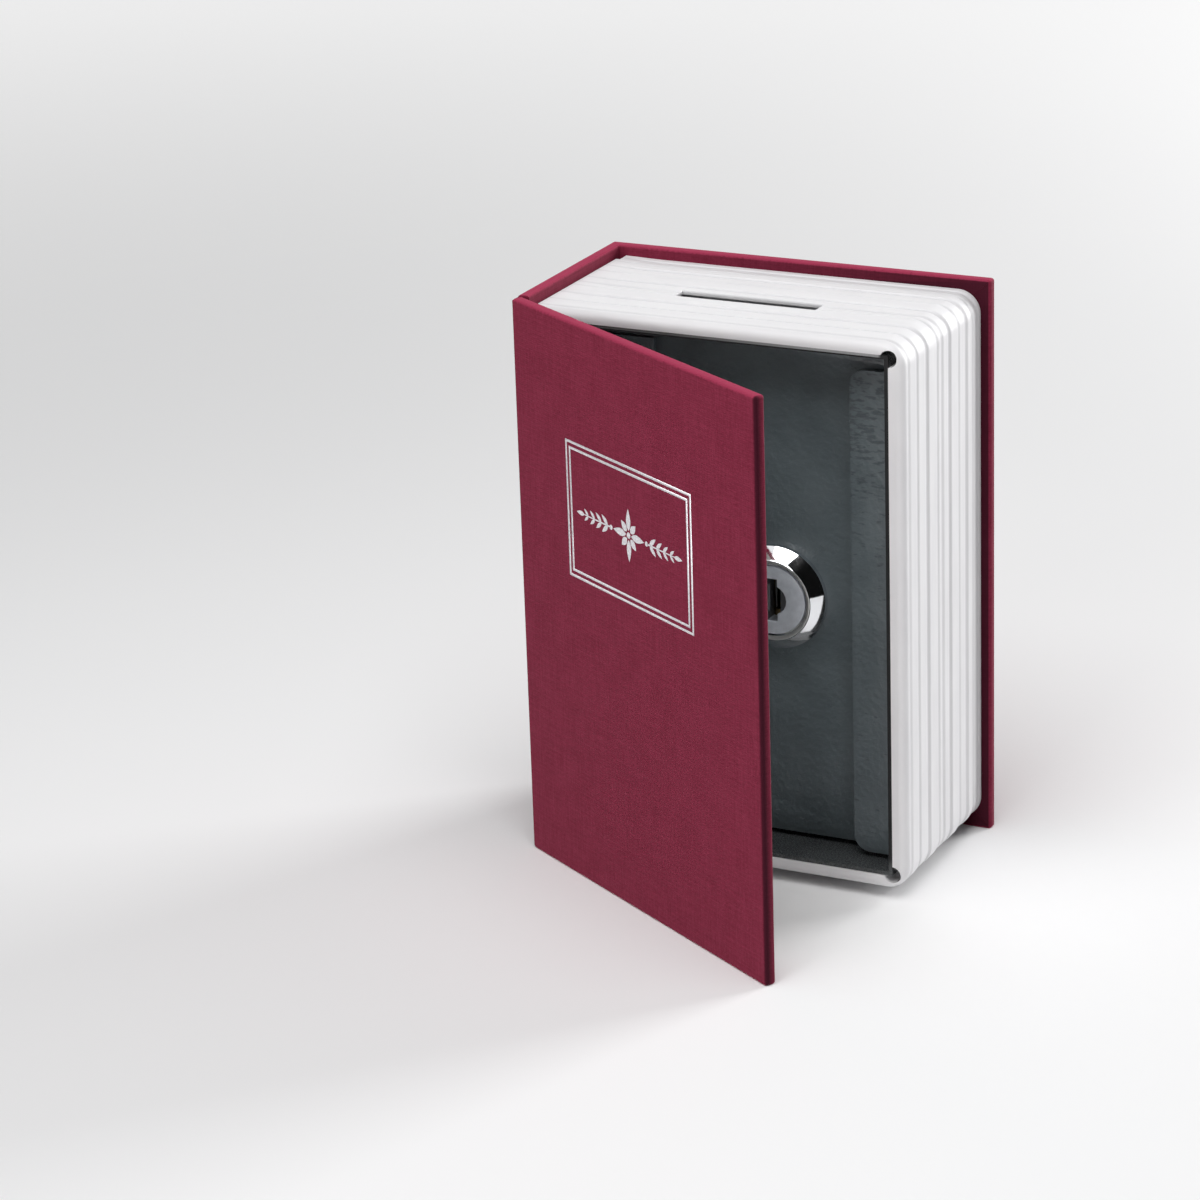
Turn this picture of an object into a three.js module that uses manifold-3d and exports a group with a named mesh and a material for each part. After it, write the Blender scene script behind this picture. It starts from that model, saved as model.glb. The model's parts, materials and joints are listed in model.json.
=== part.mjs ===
import * as THREE from 'three';
import { mergeVertices } from 'three/addons/utils/BufferGeometryUtils.js';
import Module from 'manifold-3d';

// A small safe hidden in a book: a hard cover, a moulded page block, and a steel box with a door and a cam
// lock. Everything is in millimetres. Inside the outer group, x runs from the spine's outer face to the
// fore-edge, y from the closed front cover's outer face to the back, and z up from the covers' bottom edge.

const wasm = await Module();
wasm.setup();

// The whole book
const coverHeight = 115;
const coverWidth = 82.1;
const bookThickness = 45;
const openDegrees = 31.2;

// Hard cover: cloth, board and lining paper, with a line of glue between them
const clothThickness = 0.3;
const glueLine = 0.25;
const boardThickness = 1.3;
const liningThickness = 0.3;
const coverThickness = clothThickness + glueLine + boardThickness + glueLine + liningThickness;
const clothCornerRadius = 0.7;
const clothEdgeRadius = 0.6;
const turnIn = 6;
const seam = 0.3;
const hingeClearance = 0.15;
const spineJoint = 0.3;

// Moulded page block
const blockGap = 0.3;
const rimSetBack = 0.5;
const foreEdgeOverhang = 1.9;
const headOverhang = 2.1;
const blockCornerRadius = 4.8;
const rimFillet = 1.7;
const sideWall = 3.2;
const topWall = 2.4;
const bottomWall = 2.8;
const backWall = 2.4;
const pageGrooveDepth = 0.5;
const pageGrooveHalfWidth = 0.55;
const notchRadius = 1.7;
const notchDepth = 6;
const notchRise = 0.35;
const notchDrop = 0.75;
const rebateWidth = 1.2;
const rebateDepth = 3;

// Grooves between the page bands: place along the block's depth, depth, and set-back of the band behind
const grooveShares = [
  [0.06, 0.45, 0],
  [0.174, 1, 0.25],
  [0.295, 0.9, 0],
  [0.431, 1, 0.35],
  [0.491, 0.75, 0.2],
  [0.582, 1, 0],
  [0.708, 1, 0.4],
  [0.806, 0.9, 0.1],
  [0.892, 1, 0.5],
  [0.955, 0.8, 0.3],
];

// Coin slot
const slotStart = 25.4;
const slotLength = 29.7;
const slotNear = 19.4;
const slotWidth = 4.2;
const slotLip = 1;
const slotReliefReach = 2.5;

// Steel box
const boxClearance = 0.1;
const boxSetBack = 0.3;
const boxSheet = 0.8;

// Door
const doorFace = 12.4;
const doorSheet = 1;
const doorGap = 0.8;
const doorSillGap = 1.1;
const doorLatchGap = 0.7;
const lipWidth = 8.6;
const lipRaise = 3;
const lipTopDrop = 3.4;
const lipCornerRadius = 3.2;

// Hinge
const knuckleRadius = 1.6;
const leafSheet = 0.8;
const leafDrop = 2.2;
const doorLeafWidth = 16.2;
const boxLeafWidth = 12;
const knuckleCount = 9;
const knuckleGap = 0.3;
const pinRadius = 0.75;
const pinClearance = 0.3;
const pinHeadRadius = 1.3;
const pinHeadHeight = 0.5;
const panelToAxis = 1;

// Rivets
const rivetHeadRadius = 1.6;
const rivetHeadHeight = 0.5;
const rivetShankRadius = 0.9;
const rivetTailRadius = 1.5;
const rivetClearance = 0.3;
const doorRivetInset = 4.8;
const rivetHeightShares = [0.12, 0.46, 0.86];

// Lock
const lockToEdge = 25.9;
const lockZ = 56.4;
const bezelRadius = 10.5;
const bezelRim = 1.1;
const bezelFaceRadius = 8.2;
const bezelHeight = 3.4;
const bezelRing = 0.5;
const bezelRingFall = 0.1;
const headRecess = 0.4;
const plugHeadRadius = 7;
const plugHeadHeight = 0.9;
const plugGap = 0.3;
const plugRadius = 5.2;
const barrelRadius = 8;
const barrelEnd = 24;
const keySlotWidth = 2.2;
const keySlotHeight = 8.7;
const keySlotEnd = 21.2;
const keyMouthRadius = 3;
const keyMouthDepth = 1.6;
const postSize = 5;
const postShort = 0.2;

// Wafers and their springs
const waferCount = 4;
const waferStart = 13.4;
const waferPitch = 2;
const waferSheet = 0.6;
const waferGap = 0.3;
const grooveMargin = 0.6;
const waferWidth = 6;
const waferRadius = 4.9;
const waferTravel = 0.6;
const waferTipGap = 0.6;
const waferWindowWidth = 2.6;
const waferWindowHeights = [6.4, 5.4, 6, 5];
const lugReach = 0.9;
const lugHeight = 1;
const springRadius = 0.28;
const springWire = 0.09;
const springTurns = 3;
const springEnd = 2.3;
const springSeat = 0.1;
const springStepsPerTurn = 8;
const springSides = 5;

// Nut, washer and cam
const washerRadius = 10.4;
const washerThickness = 0.6;
const nutAcrossFlats = 19;
const nutThickness = 3;
const nutSides = 6;
const camThickness = 1.6;
const camReach = 24;
const camHalfWidth = 5;
const camTail = 0.8;
const camWasherRadius = 4.5;
const camWasherThickness = 0.6;
const screwHeadRadius = 3.1;
const screwHeadHeight = 2;
const screwShankRadius = 1.5;
const screwLength = 4;
const screwGap = 0.3;
const screwTipGap = 0.4;
const crossWidth = 0.6;
const crossShare = 0.62;
const crossDepth = 0.8;

// Strike and door stops
const bracketSheet = 1;
const strikeReach = 6.2;
const strikeGap = 0.5;
const strikeLegShare = 0.6;
const strikeHalfHeight = 11;
const stopReach = 4.2;
const stopGap = 0.3;
const stopLeg = 8;
const stopHalfHeight = 5;
const stopHeightShares = [0.2, 0.8];

// Screws that hold the steel box to the page block
const boxScrewHeadRadius = 2.8;
const boxScrewHeadHeight = 1.4;
const boxScrewShankRadius = 1.3;
const boxScrewInset = 8;

// Counts, the weld distance for shared corners, and the overrun of every cut
const roundSides = 40;
const smallSides = 20;
const arcSteps = 5;
const edgeSteps = 3;
const weldDistance = 0.00001;
const overrun = 1;

// Places that follow from the sizes
const openAngle = THREE.MathUtils.degToRad(openDegrees);
const roundedReach = coverWidth - clothCornerRadius;
const openReach = roundedReach * Math.sin(openAngle) + clothCornerRadius * (1 - Math.cos(openAngle));
const coverStart = clothThickness + hingeClearance;
const spineStart = coverThickness + spineJoint;
const blockLeft = coverThickness + blockGap;
const blockRight = coverWidth - foreEdgeOverhang;
const blockFront = coverThickness + rimSetBack;
const blockBack = bookThickness - coverThickness;
const blockBottom = headOverhang;
const blockTop = coverHeight - headOverhang;
const cavityLeft = blockLeft + sideWall;
const cavityRight = blockRight - sideWall;
const cavityBottom = blockBottom + bottomWall;
const cavityTop = blockTop - topWall;
const cavityBack = blockBack - backWall;
const boxLeft = cavityLeft + boxClearance;
const boxRight = cavityRight - boxClearance;
const boxBottom = cavityBottom + boxClearance;
const boxTop = cavityTop - boxClearance;
const boxFront = blockFront + boxSetBack;
const innerLeft = boxLeft + boxSheet;
const innerRight = boxRight - boxSheet;
const innerBottom = boxBottom + boxSheet;
const innerTop = boxTop - boxSheet;
const innerBack = cavityBack - boxSheet;
const doorBack = doorFace + doorSheet;
const doorBottom = innerBottom + doorSillGap;
const doorTop = innerTop - doorGap;
const doorRight = innerRight - doorLatchGap;
const lockX = doorRight - lockToEdge;
const hingeX = innerLeft + knuckleRadius;
const hingeY = doorFace - knuckleRadius;
const doorLeft = hingeX + panelToAxis;
const lipFront = doorFace - lipRaise - doorSheet;
const leafBottom = doorBottom + leafDrop;
const leafTop = doorTop - leafDrop;
const barrelBore = plugRadius + plugGap;
const waferBore = waferRadius + waferTravel + waferTipGap;
const bezelFront = doorFace - bezelHeight;
const plugFront = bezelFront + headRecess;
const plugHeadBack = plugFront + plugHeadHeight;
const plugEnd = barrelEnd + plugGap;
const camBack = plugEnd + camThickness;
const strikeFront = plugEnd - strikeGap - bracketSheet;
const strikeLeg = (innerBack - strikeFront) * strikeLegShare;
const postEnd = camBack - postShort;
const waferEnd = waferStart + waferPitch * (waferCount - 1) + waferSheet;

// The span that reaches half a width to each side of a middle
function around(middle, half) {
  return [middle - half, middle + half];
}

// The span of a cut that runs out past both faces
function through(low, high) {
  return [low - overrun, high + overrun];
}

function bareCopy(geometry) {
  const copy = geometry.clone();
  copy.deleteAttribute('normal');
  copy.deleteAttribute('uv');
  return mergeVertices(copy, weldDistance);
}

function toSolid(geometry) {
  const welded = bareCopy(geometry);
  const vertProperties = welded.attributes.position.array;
  const triVerts = new Uint32Array(welded.index.array);
  return new wasm.Manifold(new wasm.Mesh({ numProp: 3, vertProperties, triVerts }));
}

function toGeometry(solid) {
  const cut = solid.getMesh();
  const geometry = new THREE.BufferGeometry();
  geometry.setAttribute('position', new THREE.BufferAttribute(cut.vertProperties, 3));
  geometry.setIndex(new THREE.BufferAttribute(cut.triVerts, 1));
  geometry.computeVertexNormals();
  return geometry;
}

function joined(...geometries) {
  return toGeometry(geometries.map(toSolid).reduce((whole, piece) => whole.add(piece)));
}

function carved(body, ...cutters) {
  const left = cutters.map(toSolid).reduce((whole, cutter) => whole.subtract(cutter), toSolid(body));
  return toGeometry(left);
}

function shared(body, limit) {
  return toGeometry(toSolid(body).intersect(toSolid(limit)));
}

// A box between exact corner values, so that flat neighbours meet on one plane
function slab([x0, x1], [y0, y1], [z0, z1]) {
  const geometry = new THREE.BoxGeometry(1, 1, 1);
  const corner = geometry.attributes.position;
  for (let i = 0; i < corner.count; i += 1) {
    const x = corner.getX(i) > 0 ? x1 : x0;
    const y = corner.getY(i) > 0 ? y1 : y0;
    const z = corner.getZ(i) > 0 ? z1 : z0;
    corner.setXYZ(i, x, y, z);
  }
  return geometry;
}

// An outline drawn in x and z, carried through the depth from y0 to y1
function plate(shape, [y0, y1], curveSegments = arcSteps) {
  const geometry = new THREE.ExtrudeGeometry(shape, { depth: 1, bevelEnabled: false, curveSegments });
  const corner = geometry.attributes.position;
  for (let i = 0; i < corner.count; i += 1) {
    corner.setXYZ(i, corner.getX(i), corner.getZ(i) > 0 ? y0 : y1, corner.getY(i));
  }
  return geometry;
}

// An outline drawn in x and y, carried up from z0 to z1
function column(points, [z0, z1]) {
  const shape = new THREE.Shape(points.map(([x, y]) => new THREE.Vector2(x, y)));
  const geometry = new THREE.ExtrudeGeometry(shape, { depth: 1, bevelEnabled: false });
  const corner = geometry.attributes.position;
  for (let i = 0; i < corner.count; i += 1) {
    corner.setXYZ(i, corner.getX(i), corner.getY(i), corner.getZ(i) > 0 ? z1 : z0);
  }
  return geometry;
}

// A body turned about a line along y through x and z, from a profile of radius and y
function turnedAlongY(profile, x, z, sides = roundSides) {
  const outline = profile.map(([radius, y]) => new THREE.Vector2(radius, y));
  return new THREE.LatheGeometry(outline, sides).translate(x, 0, z);
}

function discAlongY(radius, [y0, y1], x, z, sides = roundSides) {
  return turnedAlongY([[0, y0], [radius, y0], [radius, y1], [0, y1]], x, z, sides);
}

function discAlongX(radius, [x0, x1], y, z, sides = smallSides) {
  const profile = [[0, x0], [radius, x0], [radius, x1], [0, x1]];
  const outline = profile.map(([reach, x]) => new THREE.Vector2(reach, x));
  return new THREE.LatheGeometry(outline, sides).rotateZ(-Math.PI / 2).translate(0, y, z);
}

function discAlongZ(radius, [z0, z1], x, y, sides = smallSides) {
  const profile = [[0, z0], [radius, z0], [radius, z1], [0, z1]];
  const outline = profile.map(([reach, z]) => new THREE.Vector2(reach, z));
  return new THREE.LatheGeometry(outline, sides).rotateX(Math.PI / 2).translate(x, y, 0);
}

// A closed skin through rings of equal counts; place turns an outline point and a level into x, y and z
function loft(outlines, levels, place) {
  const count = outlines[0].length;
  const positions = outlines.flatMap((outline, k) => outline.flatMap(([a, b]) => place(a, b, levels[k])));
  const triangles = [];
  for (let k = 0; k + 1 < outlines.length; k += 1) {
    for (let i = 0; i < count; i += 1) {
      const here = k * count + i;
      const next = k * count + ((i + 1) % count);
      triangles.push(here, next, next + count, here, next + count, here + count);
    }
  }
  const flat = outlines[0].map(([a, b]) => new THREE.Vector2(a, b));
  const last = (outlines.length - 1) * count;
  for (const [a, b, c] of THREE.ShapeUtils.triangulateShape(flat, [])) {
    triangles.push(a, c, b, last + a, last + b, last + c);
  }
  const geometry = new THREE.BufferGeometry();
  geometry.setAttribute('position', new THREE.Float32BufferAttribute(positions, 3));
  geometry.setIndex(triangles);
  return geometry;
}

function cornerArc(centreA, centreB, radius, startTurn) {
  return Array.from({ length: arcSteps + 1 }, (_, step) => {
    const angle = (startTurn + step / arcSteps / 4) * 2 * Math.PI;
    return [centreA + radius * Math.cos(angle), centreB + radius * Math.sin(angle)];
  });
}

// How far an edge rounded to a radius lies in, and how far along it has come, at each step
function roundingSteps(radius) {
  return Array.from({ length: edgeSteps + 1 }, (_, step) => {
    const angle = (step / edgeSteps) * (Math.PI / 2);
    return { inset: radius * (1 - Math.sin(angle)), along: radius * (1 - Math.cos(angle)) };
  });
}

// An outline of x and y carried up the full cover height, with its bottom and top edges rounded
function clothBody(outlineAt) {
  const low = roundingSteps(clothEdgeRadius).map(({ inset, along }) => ({ inset, level: along }));
  const high = low.map(({ inset, level }) => ({ inset, level: coverHeight - level })).reverse();
  const rings = [...low, ...high];
  return loft(rings.map((r) => outlineAt(r.inset)), rings.map((r) => r.level), (x, y, z) => [x, y, z]);
}

function boardHeights() {
  const margin = clothThickness + glueLine;
  return [margin, coverHeight - margin];
}

function liningHeights() {
  return [turnIn + seam, coverHeight - turnIn - seam];
}

function frontCloth() {
  const outlineAt = (inset) => {
    const radius = clothCornerRadius - inset;
    const inner = coverThickness - clothCornerRadius;
    return [
      [coverStart, inset],
      ...cornerArc(coverWidth - clothCornerRadius, clothCornerRadius, radius, -1 / 4),
      ...cornerArc(coverWidth - clothCornerRadius, inner, radius, 0),
      [coverStart, coverThickness - inset],
    ];
  };
  const pocket = slab(
    [coverStart + clothThickness, coverWidth - clothThickness],
    [clothThickness, coverThickness - clothThickness],
    [clothThickness, coverHeight - clothThickness],
  );
  const window = slab(
    [coverStart + clothThickness, coverWidth - turnIn],
    [coverThickness - clothThickness - glueLine, coverThickness + overrun],
    [turnIn, coverHeight - turnIn],
  );
  return carved(clothBody(outlineAt), pocket, window);
}

function frontBoard() {
  const near = clothThickness + glueLine;
  return slab([coverStart + near, coverWidth - near], [near, near + boardThickness], boardHeights());
}

function frontLining() {
  const depth = [coverThickness - liningThickness, coverThickness];
  const start = coverStart + clothThickness + seam;
  return slab([start, coverWidth - turnIn - seam], depth, liningHeights());
}

// Spine and back cover share one cloth, an angle in plan
function caseCloth() {
  const outlineAt = (inset) => {
    const radius = clothCornerRadius - inset;
    const farX = coverWidth - clothCornerRadius;
    const farY = bookThickness - clothCornerRadius;
    return [
      [inset, spineStart],
      [coverThickness - inset, spineStart],
      [coverThickness - inset, blockBack + inset],
      ...cornerArc(farX, blockBack + clothCornerRadius, radius, -1 / 4),
      ...cornerArc(farX, farY, radius, 0),
      ...cornerArc(clothCornerRadius, farY, radius, 1 / 4),
    ];
  };
  const inside = coverThickness - clothThickness;
  const heights = [clothThickness, coverHeight - clothThickness];
  const spinePocket = slab(
    [clothThickness, inside],
    [spineStart + clothThickness, bookThickness - clothThickness],
    heights,
  );
  const backPocket = slab(
    [clothThickness, coverWidth - clothThickness],
    [bookThickness - inside, bookThickness - clothThickness],
    heights,
  );
  const windowHeights = [turnIn, coverHeight - turnIn];
  const spineWindow = slab(
    [inside - glueLine, coverThickness + overrun],
    [spineStart + clothThickness, blockBack + clothThickness],
    windowHeights,
  );
  const backWindow = slab(
    [inside, coverWidth - turnIn],
    [blockBack - overrun, blockBack + clothThickness + glueLine],
    windowHeights,
  );
  return carved(clothBody(outlineAt), spinePocket, backPocket, spineWindow, backWindow);
}

function spineBoard() {
  const near = clothThickness + glueLine;
  const depth = [spineStart + near, bookThickness - near - boardThickness - spineJoint];
  return slab([near, near + boardThickness], depth, boardHeights());
}

function backBoard() {
  const margin = clothThickness + glueLine;
  const depth = [bookThickness - margin - boardThickness, bookThickness - margin];
  return slab([margin, coverWidth - margin], depth, boardHeights());
}

function spineLining() {
  const width = [coverThickness - liningThickness, coverThickness];
  return slab(width, [spineStart + clothThickness + seam, blockBack - seam], liningHeights());
}

function backLining() {
  const depth = [blockBack, blockBack + liningThickness];
  return slab([coverThickness, coverWidth - turnIn - seam], depth, liningHeights());
}

function hingeCloth() {
  return slab([0, clothThickness], [0, spineStart], [0, coverHeight]);
}

// The block's outline in x and z; the side towards the spine stays straight
function pageOutline(inset) {
  const radius = blockCornerRadius - inset;
  const farX = blockRight - blockCornerRadius;
  return [
    [blockLeft, blockBottom + inset],
    ...cornerArc(farX, blockBottom + blockCornerRadius, radius, -1 / 4),
    ...cornerArc(farX, blockTop - blockCornerRadius, radius, 0),
    [blockLeft, blockTop - inset],
  ];
}

// The insets of the block's outline along its depth: a rounded rim, then shallow grooves between bands
function pageRings() {
  const rings = roundingSteps(rimFillet).map(({ inset, along }) => ({ inset, level: blockFront + along }));
  let bandShare = 0;
  for (const [placeShare, depthShare, nextBandShare] of grooveShares) {
    const groove = blockFront + placeShare * (blockBack - blockFront);
    rings.push({ inset: bandShare * pageGrooveDepth, level: groove - pageGrooveHalfWidth });
    rings.push({ inset: depthShare * pageGrooveDepth, level: groove });
    rings.push({ inset: nextBandShare * pageGrooveDepth, level: groove + pageGrooveHalfWidth });
    bandShare = nextBandShare;
  }
  rings.push({ inset: bandShare * pageGrooveDepth, level: blockBack });
  return rings;
}

function coinSlot(heights) {
  return slab([slotStart, slotStart + slotLength], [slotNear, slotNear + slotWidth], heights);
}

// The wall is thinned round the slot from inside, which leaves a lip at the page tops
function slotRelief() {
  const width = [slotStart - slotReliefReach, slotStart + slotLength + slotReliefReach];
  const depth = [slotNear - slotReliefReach, slotNear + slotWidth + slotReliefReach];
  return slab(width, depth, [cavityTop - overrun, blockTop - slotLip]);
}

function boxScrewPlaces() {
  const columns = [innerLeft + boxScrewInset, innerRight - boxScrewInset];
  const rows = [innerBottom + boxScrewInset, innerTop - boxScrewInset];
  return columns.flatMap((x) => rows.map((z) => [x, z]));
}

function boxScrewHoles(depth) {
  const radius = boxScrewShankRadius + screwGap;
  return boxScrewPlaces().map(([x, z]) => discAlongY(radius, depth, x, z, smallSides));
}

function pageBlock() {
  const rings = pageRings().reverse();
  const outlines = rings.map((r) => pageOutline(r.inset));
  const skin = loft(outlines, rings.map((r) => r.level), (x, z, y) => [x, y, z]);
  const cavityDepth = [blockFront - overrun, cavityBack];
  const cavity = slab([cavityLeft, cavityRight], cavityDepth, [cavityBottom, cavityTop]);
  const notchSpan = [blockFront - overrun, blockFront + notchDepth];
  const notches = [cavityLeft, cavityRight].flatMap((x) =>
    [cavityBottom + notchRise, cavityTop - notchDrop].map((z) =>
      discAlongY(notchRadius, notchSpan, x, z, smallSides)));
  const rebate = slab(
    [blockLeft - overrun, blockLeft + rebateWidth],
    [blockBack - rebateDepth, blockBack + overrun],
    through(blockBottom, blockTop),
  );
  const slot = coinSlot(through(cavityTop, blockTop));
  const screwHoles = boxScrewHoles(through(cavityBack, blockBack));
  return carved(skin, cavity, ...notches, rebate, slot, slotRelief(), ...screwHoles);
}

function rivetHeights() {
  return rivetHeightShares.map((share) => leafBottom + share * (leafTop - leafBottom));
}

const boxRivetY = hingeY + boxLeafWidth / 2;
const doorRivetX = hingeX + doorLeafWidth - doorRivetInset;

function boxRivetHoles(width) {
  return rivetHeights().map((z) => discAlongX(rivetShankRadius + rivetClearance, width, boxRivetY, z));
}

function doorRivetHoles(depth) {
  const radius = rivetShankRadius + rivetClearance;
  return rivetHeights().map((z) => discAlongY(radius, depth, doorRivetX, z, smallSides));
}

function innerBox() {
  const outside = slab([boxLeft, boxRight], [boxFront, cavityBack], [boxBottom, boxTop]);
  const inside = slab([innerLeft, innerRight], [boxFront - overrun, innerBack], [innerBottom, innerTop]);
  const slot = coinSlot(through(innerTop, boxTop));
  const screwHoles = boxScrewHoles(through(innerBack, cavityBack));
  const rivetHoles = boxRivetHoles(through(boxLeft, innerLeft));
  return carved(outside, inside, slot, ...screwHoles, ...rivetHoles);
}

// An angle on the box's right wall: a flange across the opening and a leg along the wall
function wallBracket(front, reach, leg, middle, halfHeight) {
  const outline = [
    [innerRight - reach, front],
    [innerRight, front],
    [innerRight, front + leg],
    [innerRight - bracketSheet, front + leg],
    [innerRight - bracketSheet, front + bracketSheet],
    [innerRight - reach, front + bracketSheet],
  ];
  return column(outline, around(middle, halfHeight));
}

function strikePlate() {
  return wallBracket(strikeFront, strikeReach, strikeLeg, lockZ, strikeHalfHeight);
}

function doorStop(heightShare) {
  const middle = innerBottom + heightShare * (innerTop - innerBottom);
  return wallBracket(doorBack + stopGap, stopReach, stopLeg, middle, stopHalfHeight);
}

function lipShape() {
  const shape = new THREE.Shape();
  const left = doorRight - lipWidth;
  const top = doorTop - lipTopDrop;
  const radius = lipCornerRadius;
  shape.moveTo(doorRight, doorBottom);
  shape.lineTo(doorRight, top);
  shape.lineTo(left + radius, top);
  shape.absarc(left + radius, top - radius, radius, Math.PI / 2, Math.PI, false);
  shape.lineTo(left, doorBottom + radius);
  shape.absarc(left + radius, doorBottom + radius, radius, Math.PI, 3 * Math.PI / 2, false);
  shape.closePath();
  return shape;
}

function doorPanel() {
  const panel = slab([doorLeft, doorRight], [doorFace, doorBack], [doorBottom, doorTop]);
  const webHeights = [doorBottom, doorTop - lipTopDrop];
  const web = slab([doorRight - doorSheet, doorRight], [lipFront, doorBack], webHeights);
  const lip = plate(lipShape(), [lipFront, lipFront + doorSheet]);
  const depth = through(doorFace, doorBack);
  const lockHole = discAlongY(barrelRadius + plugGap, depth, lockX, lockZ);
  return carved(joined(panel, web, lip), lockHole, ...doorRivetHoles(depth));
}

// The knuckles along the pin, those of the box leaf at even places
function knuckleSpans(parity) {
  const pitch = (leafTop - leafBottom) / knuckleCount;
  return Array.from({ length: knuckleCount }, (_, place) => place)
    .filter((place) => place % 2 === parity)
    .map((place) => [leafBottom + place * pitch, leafBottom + (place + 1) * pitch - knuckleGap]);
}

function hingeLeaf(sheet, parity, rivetHoles) {
  const reach = knuckleRadius + knuckleGap;
  const spans = knuckleSpans(parity);
  const heights = [leafBottom, knuckleSpans(0).at(-1)[1]];
  const clearings = knuckleSpans(1 - parity).map(([z0, z1]) =>
    slab(around(hingeX, reach), around(hingeY, reach), [z0 - knuckleGap, z1 + knuckleGap]));
  const tubes = spans.map((span) => discAlongZ(knuckleRadius, span, hingeX, hingeY));
  const bore = discAlongZ(pinRadius + pinClearance, through(...heights), hingeX, hingeY);
  return carved(joined(carved(sheet(heights), ...clearings), ...tubes), bore, ...rivetHoles);
}

function doorLeaf() {
  const sheet = (heights) =>
    slab([hingeX, hingeX + doorLeafWidth], [doorFace - leafSheet, doorFace], heights);
  return hingeLeaf(sheet, 1, doorRivetHoles(through(doorFace - leafSheet, doorFace)));
}

function boxLeaf() {
  const sheet = (heights) =>
    slab([innerLeft, innerLeft + leafSheet], [hingeY, hingeY + boxLeafWidth], heights);
  return hingeLeaf(sheet, 0, boxRivetHoles([innerLeft - overrun, innerLeft + leafSheet + overrun]));
}

function hingePin() {
  const bottom = leafBottom;
  const top = knuckleSpans(0).at(-1)[1];
  return joined(
    discAlongZ(pinRadius, [bottom - pinHeadHeight, top + pinHeadHeight], hingeX, hingeY),
    discAlongZ(pinHeadRadius, [bottom - pinHeadHeight, bottom], hingeX, hingeY),
    discAlongZ(pinHeadRadius, [top, top + pinHeadHeight], hingeX, hingeY),
  );
}

function doorRivet(z) {
  const face = doorFace - leafSheet;
  const profile = [
    [0, face - rivetHeadHeight],
    [rivetHeadRadius - rivetHeadHeight, face - rivetHeadHeight],
    [rivetHeadRadius, face],
    [rivetShankRadius, face],
    [rivetShankRadius, doorBack],
    [rivetTailRadius, doorBack],
    [rivetTailRadius, doorBack + rivetHeadHeight],
    [0, doorBack + rivetHeadHeight],
  ];
  return turnedAlongY(profile, doorRivetX, z, smallSides);
}

function boxRivet(z) {
  const face = innerLeft + leafSheet;
  return joined(
    discAlongX(rivetHeadRadius, [face, face + rivetHeadHeight], boxRivetY, z),
    discAlongX(rivetShankRadius, [boxLeft, face + rivetHeadHeight], boxRivetY, z),
  );
}

function lockBody() {
  const ringOuter = bezelFaceRadius;
  const ringInner = plugHeadRadius + plugGap;
  const profile = [
    [ringInner, bezelFront + bezelRingFall],
    [ringOuter - bezelRing, bezelFront],
    [ringOuter, bezelFront],
    [bezelRadius, doorFace - bezelRim],
    [bezelRadius, doorFace],
    [barrelRadius, doorFace],
    [barrelRadius, barrelEnd],
    [barrelBore, barrelEnd],
    [barrelBore, plugHeadBack + plugGap],
    [ringInner, plugHeadBack + plugGap],
    [ringInner, bezelFront + bezelRingFall],
  ];
  const halfWide = waferWidth / 2 + waferGap;
  const depth = [waferStart - grooveMargin, waferEnd + grooveMargin];
  const upright = slab(around(lockX, halfWide), depth, around(lockZ, waferBore));
  const level = slab(around(lockX, waferBore), depth, around(lockZ, halfWide));
  return carved(turnedAlongY(profile, lockX, lockZ), upright, level);
}

// Wafers push alternately down and up
function waferSide(place) {
  return place % 2 === 0 ? -1 : 1;
}

function waferDepth(place) {
  const near = waferStart + waferPitch * place;
  return [near, near + waferSheet];
}

function heightsTowards(side, inner, outer) {
  const ends = [lockZ + side * inner, lockZ + side * outer];
  return ends.sort((a, b) => a - b);
}

// The room in the plug for one wafer, its lug and its spring
function waferRoom(place) {
  const [near, far] = waferDepth(place);
  const depth = [near - waferGap, far + waferGap];
  const halfWide = waferWidth / 2 + waferGap;
  const lugEnd = waferWidth / 2 + lugReach + waferGap;
  const side = waferSide(place);
  const bottom = lugHeight / 2 + waferTravel + waferGap;
  return joined(
    slab(around(lockX, halfWide), depth, around(lockZ, plugRadius)),
    slab([lockX, lockX + lugEnd], depth, heightsTowards(side, -springEnd, bottom)),
  );
}

function lockPlug() {
  const profile = [
    [0, plugFront],
    [plugHeadRadius, plugFront],
    [plugHeadRadius, plugHeadBack],
    [plugRadius, plugHeadBack],
    [plugRadius, plugEnd],
    [0, plugEnd],
  ];
  const half = postSize / 2;
  const post = slab(around(lockX, half), [plugEnd - overrun, postEnd], around(lockZ, half));
  const slotHalf = keySlotWidth / 2;
  const keySlot = slab(
    around(lockX, slotHalf),
    [plugFront - overrun, keySlotEnd],
    around(lockZ, keySlotHeight / 2),
  );
  const mouthDepth = [plugFront - overrun, plugFront + keyMouthDepth];
  const mouth = discAlongY(keyMouthRadius, mouthDepth, lockX, lockZ, smallSides);
  const tapped = discAlongY(
    screwShankRadius + screwGap,
    [camBack - screwLength, camBack + overrun],
    lockX,
    lockZ,
    smallSides,
  );
  const rooms = Array.from({ length: waferCount }, (_, place) => waferRoom(place));
  return carved(joined(turnedAlongY(profile, lockX, lockZ), post), keySlot, mouth, tapped, ...rooms);
}

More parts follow.
